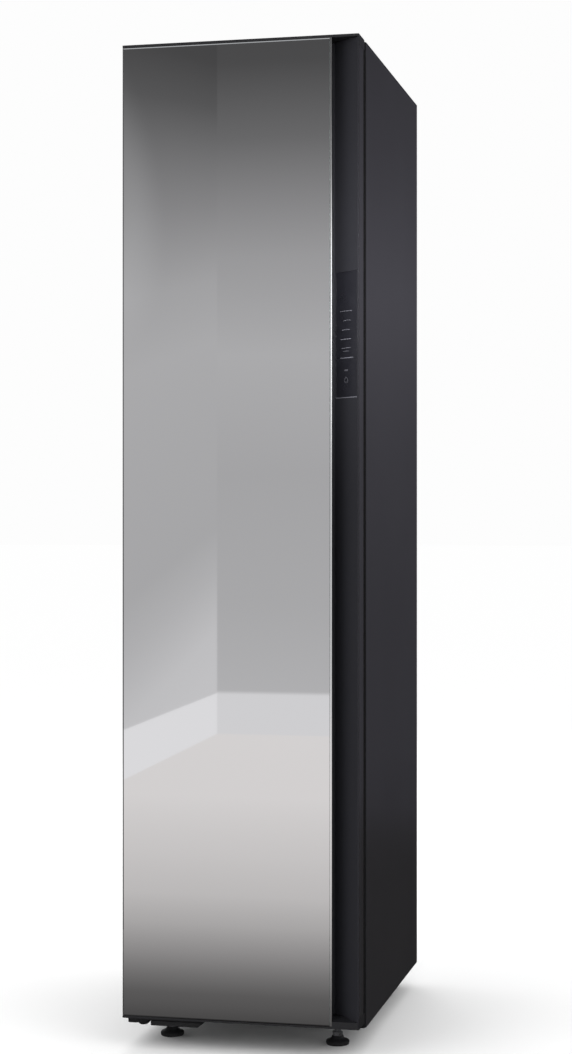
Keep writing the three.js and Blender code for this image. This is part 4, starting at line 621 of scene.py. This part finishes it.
soft_grip = finish("soft_grip_strip", 0x55585C, 0.7)
tones(soft_grip, pattern(soft_grip, 300, Detail=2.0), 0x4F5256, 0x5C5F63)
relief(soft_grip, pattern(soft_grip, 1500, Detail=2.0), 0.00005, 0.5)
ribbed, size = graph("ribs_along_an_edge", "Pitch", "Width", "Length", "Height")
edge = step(ribbed, "GeometryNodeMeshToCurve", {"Mesh": size["Geometry"]})
spaced = step(ribbed, "GeometryNodeResampleCurve", {"Curve": edge[0], "Length": size["Pitch"]}, mode="LENGTH")
along = step(ribbed, "GeometryNodeInputTangent", {})
lie = step(ribbed, "FunctionNodeAlignRotationToVector", {"Vector": along[0]}, axis="Y")
bulk = triple(ribbed, size["Width"], size["Length"], size["Height"])
rib = step(ribbed, "GeometryNodeMeshCube", {"Size": bulk})
repeated(ribbed, spaced[0], rib[0], size["Material"], Rotation=lie[0])

shoulder_top, shoulder_drop, shoulder_length, spans = 1.6512, 0.072, 0.2, 12
first_share, last_share = 0.30, 0.92
for hand in ("left", "middle", "right"):
    low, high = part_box("hanger_" + hand)
    x, y = (low.x + high.x) / 2, (low.y + high.y) / 2
    strips, links = [], []
    for side in (-1, 1):
        links += [(len(strips) + i, len(strips) + i + 1) for i in range(spans)]
        for i in range(spans + 1):
            share = first_share + (last_share - first_share) * i / spans
            fall = shoulder_drop * share ** 1.5
            strips.append((x, y + side * share * shoulder_length, shoulder_top - fall))
    grow("hanger_" + hand + "_grips", ribbed, soft_grip, "hanger_" + hand, "rubber", strips, links,
         Pitch=0.0032, Width=0.0088, Length=0.0018, Height=0.0016)


# Lamp lens: a frosted strip in the ceiling, just behind the door, over a row of small lamps that show
# through it as soft spots.
frosted = finish("frosted_lens", 0xF1F1EC, 0.55, **{"Emission Strength": 0.9})
lamps = pattern(frosted, 19.6, kind="ShaderNodeTexWave")
spots = step(frosted.node_tree, "ShaderNodeValToRGB", {"Fac": lamps})
between, lamp_light = spots["Color"].node.color_ramp.elements
between.color = (0.55, 0.54, 0.5, 1)
lamp_light.color = (1, 0.98, 0.92, 1)
frosted.node_tree.links.new(spots["Color"], coat(frosted)["Emission Color"])
relief(frosted, pattern(frosted, 900, Detail=2.0), 0.00005, 0.4)
dress(frosted, 0.0008, "lamp_lens")


# Shelf: a slotted tray, moulded in the liners' pale grey, that slides out on their guides. A lip along its
# front edge is its grip.
dress(pale, 0.001, "shelf")


# Lint filter: a basket with slotted top that lifts out of its well by the bar across it. A fine woven
# stainless mesh is welded in under the slots.
dress(grey, 0.0008, "lint_filter")
woven, size = graph("woven_mesh", "Width", "Depth", "Pitch", "Wire")
counts = [step(woven, "ShaderNodeMath", {0: figure(woven, size[extent], "DIVIDE", size["Pitch"])},
               operation="ROUND")[0] for extent in ("Width", "Depth")]
net = step(woven, "GeometryNodeMeshGrid", {"Size X": size["Width"], "Size Y": size["Depth"],
                                           "Vertices X": counts[0], "Vertices Y": counts[1]})
wires = step(woven, "GeometryNodeMeshToCurve", {"Mesh": net[0]})
repeated(woven, size["Geometry"], swept(woven, wires[0], 4, size["Wire"], False), size["Material"])
low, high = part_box("lint_filter")
both_rims, mesh_height = 0.0195, 0.4670
grow("lint_filter_mesh", woven, stainless, "lint_filter", "steel",
     [((low.x + high.x) / 2, (low.y + high.y) / 2, mesh_height)],
     Width=high.x - low.x - both_rims, Depth=high.y - low.y - both_rims, Pitch=0.003, Wire=0.0003)


# Tank bay: a grey moulding that holds the two water tanks behind the lower part of the door.
# Its floor drains into the base pan.
dress(grey, 0.001, "tank_bay")


# Water tanks: smoked clear boxes with a finger pocket in the front, a row of level marks and a dark lid with
# its ribbed filler cap. The left one holds clean water, the right one what drains from the clothes.
smoked = finish("smoked_clear_moulding", 0x4A4D52, 0.16, **{"Transmission Weight": 0.5, "IOR": 1.5})
tones(smoked, pattern(smoked, 18, Detail=2.0), 0x44474C, 0x50545A)
gloss(smoked, pattern(smoked, 60, Detail=2.0), 0.12, 0.22)
relief(smoked, pattern(smoked, 260, Detail=2.0), 0.00004, 0.3)
dress(smoked, 0.0012, "supply_tank", "drain_tank", segments=3)
lid_black = finish("tank_lid_moulding", 0x232427, 0.44)
tones(lid_black, pattern(lid_black, 70, Detail=3.0), 0x1F2023, 0x282A2D)
relief(lid_black, pattern(lid_black, 1200, Detail=2.0), 0.00006, 0.6)
dress(lid_black, 0.001, "supply_tank_lid", "drain_tank_lid")
printed = finish("pale_printing", 0xB9BDC1, 0.6)
tones(printed, pattern(printed, 500, Detail=2.0), 0xB1B5B9, 0xC2C6CA)

lowest_mark, mark_step, mark_count, half_long, half_short = 0.165, 0.024, 6, 0.013, 0.007
cap_radius, cap_behind, cap_above, cap_sides = 0.0158, 0.046, 0.0088, 28
for tank in ("supply_tank", "drain_tank"):
    low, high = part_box(tank)
    middle = (low.x + high.x) / 2
    marks = []
    for i in range(mark_count):
        half = half_long if i in (0, mark_count - 1) else half_short
        marks += [(x, low.y, lowest_mark + mark_step * i) for x in (middle - half, middle + half)]
    grow(tank + "_marks", ribbed, printed, tank, "pale_plastic", marks,
         [(2 * i, 2 * i + 1) for i in range(mark_count)],
         Pitch=0.0011, Width=0.0004, Length=0.0011, Height=0.0011)
    cap = []
    for k in range(cap_sides):
        a = 2 * math.pi * k / cap_sides
        cap.append((middle + cap_radius * math.cos(a), low.y + cap_behind + cap_radius * math.sin(a),
                    high.z + cap_above))
    grow(tank + "_cap_ribs", ribbed, lid_black, tank, "black_plastic", cap,
         [(k, (k + 1) % cap_sides) for k in range(cap_sides)],
         Pitch=0.0034, Width=0.0011, Length=0.0014, Height=0.0016)


# Compressor: a black enamelled steel shell welded round its middle, on three rubber bushes held by nuts.
# Copper pipes run from its crown to the coils.
enamel = finish("compressor_enamel", 0x101113, 0.22)
tones(enamel, pattern(enamel, 50, Detail=4.0), 0x0C0D0F, 0x17181A)
gloss(enamel, pattern(enamel, 30, Detail=3.0), 0.18, 0.3)
relief(enamel, pattern(enamel, 160, Detail=2.0), 0.0001, 0.3)
dress(enamel, 0.001, "compressor")
shell_x, shell_y, bush_circle, bush_top = -0.120, 0.150, 0.072, 0.0613
seam = [(0.0575, 0.1500), (0.0592, 0.1508), (0.0600, 0.1525), (0.0592, 0.1542), (0.0575, 0.1550)]
turned("compressor_seam", enamel, "cabinet", seam + seam[:1], (shell_x, shell_y), 40)

nuts, size = graph("nut_on_a_washer", "Radius", "Height", "Stud")
stack = []
for sides, radius, height in (
    (6, size["Radius"], size["Height"]),
    (24, figure(nuts, size["Radius"], "MULTIPLY", 1.35), figure(nuts, size["Height"], "MULTIPLY", 0.3)),
    (12, size["Stud"], figure(nuts, size["Height"], "MULTIPLY", 1.6)),
):
    barrel = step(nuts, "GeometryNodeMeshCylinder", {"Vertices": sides, "Radius": radius, "Depth": height})
    lift = triple(nuts, z=figure(nuts, height, "MULTIPLY", 0.5))
    stack.append(step(nuts, "GeometryNodeTransform", {"Geometry": barrel[0], "Translation": lift})[0])
nut = step(nuts, "GeometryNodeJoinGeometry", {"Geometry": stack})
repeated(nuts, size["Geometry"], nut[0], size["Material"])
grow("compressor_nuts", nuts, plated, "cabinet", "steel",
     [(shell_x + bush_circle * math.cos(a), shell_y + bush_circle * math.sin(a), bush_top)
      for a in (math.pi / 6, 5 * math.pi / 6, 3 * math.pi / 2)], Radius=0.0062, Height=0.005, Stud=0.003)


# Heat exchangers: aluminium fins pressed onto copper tube, one coil that cools the air from the chamber and
# one that warms it again. A pipe from each rises over to the compressor.
fin_metal = finish("fin_aluminium", 0xC3C6C9, 0.35, 1.0)
tones(fin_metal, pattern(fin_metal, 60, Detail=3.0), 0xB7BABD, 0xCCCFD2)
gloss(fin_metal, pattern(fin_metal, 300, (1, 1, 0.1), Detail=3.0), 0.25, 0.45)
relief(fin_metal, pattern(fin_metal, 900, (1, 1, 0.1), Detail=2.0), 0.0001, 0.3)
copper = finish("copper_tube", 0xB06A45, 0.3, 1.0)
tones(copper, pattern(copper, 40, Detail=4.0), 0x94563A, 0xBF7C55)
gloss(copper, pattern(copper, 90, Detail=3.0), 0.22, 0.42)
tube, size = graph("bent_tube", "Radius")
run = step(tube, "GeometryNodeMeshToCurve", {"Mesh": size["Geometry"]})
close(tube, swept(tube, run[0], 10, size["Radius"]), size["Material"])


def bent(corners, radius):
    """The corners of a run with each bend rounded, and the edges between the points."""
    corners = [Vector(c) for c in corners]
    points = [corners[0]]
    for before, corner, after in zip(corners, corners[1:], corners[2:]):
        there, on = (before - corner).normalized() * radius, (after - corner).normalized() * radius
        points += [corner + there * (1 - t) ** 2 + on * t ** 2 for t in (0, 0.2, 0.4, 0.6, 0.8, 1)]
    points.append(corners[-1])
    return points, [(k, k + 1) for k in range(len(points) - 1)]


fins, size = graph("fin_pack", "Pitch", "Thickness", "Depth", "Height")
line = step(fins, "GeometryNodeMeshToCurve", {"Mesh": size["Geometry"]})
places = step(fins, "GeometryNodeResampleCurve", {"Curve": line[0], "Length": size["Pitch"]}, mode="LENGTH")
leaf = triple(fins, size["Thickness"], size["Depth"], size["Height"])
fin = step(fins, "GeometryNodeMeshCube", {"Size": leaf})
repeated(fins, places[0], fin[0], size["Material"])

end_fin, tube_offset, bend_overhang, bend_radius = 0.0005, 0.010, 0.010, 0.0125
lowest_pass, pass_step, pass_count = 0.014, 0.026, 7
for coil_name in ("evaporator", "condenser"):
    low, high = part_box(coil_name)
    middle = (low + high) / 2
    grow(coil_name + "_fins", fins, fin_metal, "cabinet", "fins",
         [(low.x + end_fin, middle.y, middle.z), (high.x - end_fin, middle.y, middle.z)], [(0, 1)],
         node=coil_name, Pitch=0.0034, Thickness=0.0005, Depth=high.y - low.y, Height=high.z - low.z)
    for name, y in (("_tube_front", middle.y - tube_offset), ("_tube_rear", middle.y + tube_offset)):
        corners = []
        for i in range(pass_count):
            z = low.z + lowest_pass + pass_step * i
            ends = [(low.x - bend_overhang, y, z), (high.x + bend_overhang, y, z)]
            corners += ends[::-1] if i % 2 else ends
        grow(coil_name + name, tube, copper, "cabinet", "bright_metal", *bent(corners, bend_radius),
             Radius=0.0035)

crown, coil_top, pipe_bend = 0.240, 0.228, 0.022
for name, x, crown_y, coil_y, peak in (
    ("discharge_pipe", -0.105, 0.135, 0.042, 0.290),
    ("suction_pipe", -0.138, 0.150, -0.008, 0.312),
):
    corners = [(x, crown_y, crown), (x, crown_y, peak), (x, coil_y, peak), (x, coil_y, coil_top)]
    grow(name, tube, copper, "cabinet", "bright_metal", *bent(corners, pipe_bend), Radius=0.004)


# Steam generator: a ribbed boiler moulding with its hose up to the outlet in the chamber's floor, held by a
# worm clamp at each end.
boiler = finish("boiler_moulding", 0xA9A498, 0.5)
tones(boiler, pattern(boiler, 30, Detail=3.0), 0x9F9A8E, 0xB2ADA2)
gloss(boiler, pattern(boiler, 50, Detail=2.0), 0.44, 0.56)
relief(boiler, pattern(boiler, 800, Detail=3.0), 0.0001, 0.5)
dress(boiler, 0.001, "steam_generator")
rubber = finish("black_rubber", 0x1A1A1B, 0.72)
tones(rubber, pattern(rubber, 200, Detail=3.0), 0x151516, 0x212122)
gloss(rubber, pattern(rubber, 90, Detail=2.0), 0.66, 0.78)
relief(rubber, pattern(rubber, 900, Detail=3.0), 0.00012, 0.6)
dress(rubber, 0.001, "steam_pipe")
inner, outer, band_height = 0.0082, 0.0092, 0.0065
for name, centre, z in (("lower_hose_clamp", (0.1625, 0.060), 0.2045),
                        ("upper_hose_clamp", (0.130, 0.150), 0.4560)):
    band = [(inner, z), (outer, z), (outer, z + band_height), (inner, z + band_height), (inner, z)]
    turned(name, stainless, "cabinet", band, centre, 24)


# Pumps and control box: two small mouldings in the base pan, and a ribbed pale box on the back panel whose
# cover is held by four screws.
dress(grey, 0.001, "drain_pump", "supply_pump")
dress(pale, 0.001, "control_box")
cover_face, cover_columns, cover_heights = 0.246, (-0.1995, -0.1335), (0.278, 0.4365)
screws("control_box_screws", [(x, cover_face, z) for x in cover_columns for z in cover_heights],
       forward, 0.0032, 0.0017, 0.0009)


# Blower: a spiral housing whose outlet passes up through the chamber floor, an impeller with curved blades
# and, in its inlet, the motor on three arms.
dress(grey, 0.001, "blower_housing")
dress(nylon, 0.0005, "blower_impeller")
dress(plated, 0.0008, "blower_motor")
arm_circle, arm_face, shaft_height = 0.069, 0.2397, 0.270
screws("motor_screws", [(arm_circle * math.cos(a), arm_face, shaft_height + arm_circle * math.sin(a))
                        for a in (math.pi / 2, 7 * math.pi / 6, 11 * math.pi / 6)],
       forward, 0.0036, 0.0019, 0.001)


# Door frame: a charcoal painted shell, filled with foam, that carries everything else on the door.
# Its right side is the plain band beside the grip, and its back edge is chamfered on both sides.
dress(charcoal, 0.001, "door_frame")
shell = bpy.data.objects["door_frame_finished"].data
low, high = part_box("door_frame")
chamfer_front, chamfer_reach, chamfer_inset, side_skin = -0.274, 0.009, 0.003, 0.002
cut = bmesh.new()
cut.from_mesh(shell)
bmesh.ops.bisect_plane(cut, geom=cut.verts[:] + cut.edges[:] + cut.faces[:], plane_co=(0, chamfer_front, 0),
                       plane_no=(0, 1, 0), dist=weld)
for vert in cut.verts:
    behind = vert.co.y - chamfer_front
    if behind > weld and (vert.co.x > high.x - side_skin or vert.co.x < low.x + side_skin):
        vert.co.x -= math.copysign(chamfer_inset * min(1, behind / chamfer_reach), vert.co.x)
cut.to_mesh(shell)
cut.free()


# Mirror: 4 mm float glass, silvered behind, with a flat ground bevel round its edge and a rubbed arris.
# It is bonded to the door frame.
def lofted(shape, rings):
    """A closed form through rings of points, added to a shape."""
    loops = [[shape.verts.new(point) for point in ring] for ring in rings]
    shape.faces.new(loops[0])
    shape.faces.new(loops[-1][::-1])
    for first, second in zip(loops, loops[1:]):
        for k in range(len(first)):
            after = (k + 1) % len(first)
            shape.faces.new((first[k], second[k], second[after], first[after]))


silver = finish("silvered_glass", 0xE6E7E8, 0.015, 1.0)
gloss(silver, pattern(silver, 3, Detail=1.0), 0.012, 0.02)
ground = finish("ground_glass_edge", 0x7F8A88, 0.45)
tones(ground, pattern(ground, 900, (1, 1, 0.3), Detail=2.0), 0x6F7A78, 0x8D9896)
relief(ground, pattern(ground, 1500, Detail=2.0), 0.00003, 0.5)
low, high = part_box("mirror_panel")
bevel_width, bevel_depth, arris_share, least_silvered = 0.0024, 0.001, 1 / 8, -0.3
glass = bmesh.new()
rings = []
for inset, y in ((bevel_width, low.y), (0, low.y + bevel_depth), (0, high.y)):
    left, right, foot, top = low.x + inset, high.x - inset * arris_share, low.z + inset, high.z - inset
    rings.append([(left, y, foot), (right, y, foot), (right, y, top), (left, y, top)])
lofted(glass, rings)
bmesh.ops.recalc_face_normals(glass, faces=glass.faces[:])
for face in glass.faces:
    face.material_index = 0 if face.normal.y < least_silvered else 1
place(meshed(glass, "mirror", silver, ground), "door", "mirror_panel")


# Edge trim: an anodised aluminium angle that covers the mirror's edge beside the grip.
# It is brushed along its length.
anodised = finish("anodised_trim", 0xECEDEE, 0.14, 1.0)
gloss(anodised, pattern(anodised, 900, (1, 1, 0.02), Detail=3.0), 0.1, 0.2)
relief(anodised, pattern(anodised, 1800, (1, 1, 0.02), Detail=2.0), 0.00002, 0.3)
low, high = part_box("mirror_trim")
crown_height, crown_steps = 0.0006, 10
outline = [(low.x, high.y), (high.x, high.y)]
for k in range(crown_steps + 1):
    share = k / crown_steps
    outline.append((high.x - (high.x - low.x) * share, low.y + crown_height * (1 - share) ** 2))
strip = bmesh.new()
lofted(strip, [[(x, y, z) for x, y in outline] for z in (low.z, high.z)])
bmesh.ops.recalc_face_normals(strip, faces=strip.faces[:])
for face in strip.faces:
    face.smooth = True
trim = meshed(strip, "mirror_trim_crowned", anodised)
trim.data.set_sharp_from_angle(angle=edge_angle)
place(trim, "door", "mirror_trim")


# Grip channel: a black moulding down the door's whole right side, undercut behind the mirror for the finger
# tips, with a sloping outer face that carries the display.
satin_black = finish("grip_moulding", 0x27272B, 0.36, **{"Specular IOR Level": 0.2})
tones(satin_black, pattern(satin_black, 700, Detail=3.0), 0x242428, 0x28282C)
gloss(satin_black, pattern(satin_black, 60, Detail=2.0), 0.31, 0.4)
relief(satin_black, pattern(satin_black, 1400, Detail=2.0), 0.00003, 0.4)
dress(satin_black, 0.0008, "grip_channel")


# Display: a smoked window flush in the slope, over a small board, with a fine bright line along its foot that
# is a painted highlight of the window's lower edge.
# Its marks are plain dashes, a dot and a drop that glow faintly through it.
window = finish("display_window", 0x1D1D22, 0.3)
tones(window, pattern(window, 60, Detail=2.0), 0x1C1C21, 0x1F1F24)
gloss(window, pattern(window, 50, Detail=2.0), 0.27, 0.33)
dress(window, 0.0004, "display_window")
lacquer = finish("board_lacquer", 0x24502F, 0.4)
tones(lacquer, pattern(lacquer, 200, Detail=3.0), 0x1E4428, 0x2A5C37)
relief(lacquer, pattern(lacquer, 700, Detail=2.0), 0.00005, 0.4)
dress(lacquer, 0.0003, "display_board")

slope_start, slope_end = Vector((0.170, -0.276)), Vector((0.2208, -0.3157))
up_slope = (slope_end - slope_start).normalized()
off_slope = Vector((up_slope.y, -up_slope.x))


def on_slope(name, material, outlines, depth=0.00015):
    """Thin raised shapes on the slope: each is an outline of places along it and heights."""
    shape = bmesh.new()
    for outline in outlines:
        lofted(shape, [[(*(slope_start + up_slope * along + off_slope * lift), z) for along, z in outline]
                       for lift in (0, depth)])
    bmesh.ops.recalc_face_normals(shape, faces=shape.faces[:])
    place(meshed(shape, name, material), "door")


def bar(start, end, z, height):
    """The outline of a level bar from start to end along the slope."""
    return [(start, z - height / 2), (end, z - height / 2), (end, z + height / 2), (start, z + height / 2)]


def oval(z, half_height, angles):
    """Points round an oval on the signs' middle line."""
    return [(sign_middle + sign_half * math.cos(a), z + half_height * math.sin(a)) for a in angles]


printing = finish("display_printing", 0x66666C, 0.5)
tones(printing, pattern(printing, 700, Detail=2.0), 0x5A5A60, 0x72727A)
bright_print_and_highlight = finish("display_bars_and_painted_highlight", 0x626269, 0.5)
tones(bright_print_and_highlight, pattern(bright_print_and_highlight, 500, Detail=2.0), 0x5C5C63, 0x686870)
dim_printing = finish("display_dot_and_drop", 0x47474C, 0.5)
tones(dim_printing, pattern(dim_printing, 600, Detail=2.0), 0x424247, 0x4C4C52)

millimetre, dash_gap, rows = 0.001, 0.0011, []
for start, z, dashes, height in (
    (0.0145, 1.3530, (3, 5, 4, 6, 3, 7), 0.0012), (0.0245, 1.3360, (3, 2, 4, 2, 3), 0.0010),
    (0.0200, 1.3190, (5, 3, 4, 6), 0.0013), (0.0150, 1.3020, (3, 4, 7, 5, 6), 0.0014),
    (0.0190, 1.2860, (6, 3, 4, 5, 2), 0.0013), (0.0230, 1.2803, (3, 2, 4, 2), 0.0010),
):
    for dash in dashes:
        rows.append(bar(start, start + dash * millimetre, z, height))
        start += dash * millimetre + dash_gap

sign_middle, sign_half, dot_z, dot_half, drop_z, drop_half, drop_tip = (
    0.0315, 0.0056, 1.2455, 0.0018, 1.2268, 0.0044, 1.2344)
bowl_start, bowl_sweep, bowl_steps = 0.85 * math.pi, 1.3 * math.pi, 14
bowl = [bowl_start + bowl_sweep * k / bowl_steps for k in range(bowl_steps + 1)]
drop = oval(drop_z, drop_half, bowl) + [(sign_middle, drop_tip)]
hollow_z, hollow_width, hollow_height = 1.2272, 0.8, 0.78
hollow = [(sign_middle + (along - sign_middle) * hollow_width, hollow_z + (z - hollow_z) * hollow_height)
          for along, z in drop]
signs = [[drop[k - 1], drop[k], hollow[k], hollow[k - 1]] for k in range(len(drop))]
signs.append(oval(dot_z, dot_half, [math.pi * k / 8 for k in range(16)]))
on_slope("display_signs", dim_printing, signs)
on_slope("display_rows", printing, rows)
# The line at the window's foot is a painted highlight, in the bars' print colour.
thick_bar, painted_highlight_line = bar(0.0145, 0.0500, 1.2680, 0.0016), bar(0.0030, 0.0615, 1.1962, 0.0014)
line_depth = 0.0003
on_slope("display_bar", bright_print_and_highlight, [thick_bar])
on_slope("display_painted_highlight", bright_print_and_highlight, [painted_highlight_line], line_depth)


# Door caps: black mouldings that close the door's two ends and hold the hinge pins.
# The lower one has a ledge across the foot of the grip.
dress(black, 0.0005, "door_top_cap")
dress(black, 0.0002, "door_bottom_cap")


# Door liner and gasket: a pale tray with cross bars inside the door, and a soft magnetic seal round it that
# pushes into a groove.
dress(pale, 0.001, "door_liner")
seal = finish("door_seal", 0x2E2F31, 0.6)
tones(seal, pattern(seal, 160, Detail=3.0), 0x2A2B2D, 0x343538)
gloss(seal, pattern(seal, 80, Detail=2.0), 0.54, 0.66)
relief(seal, pattern(seal, 700, Detail=3.0), 0.00008, 0.5)
dress(seal, 0.001, "door_gasket")
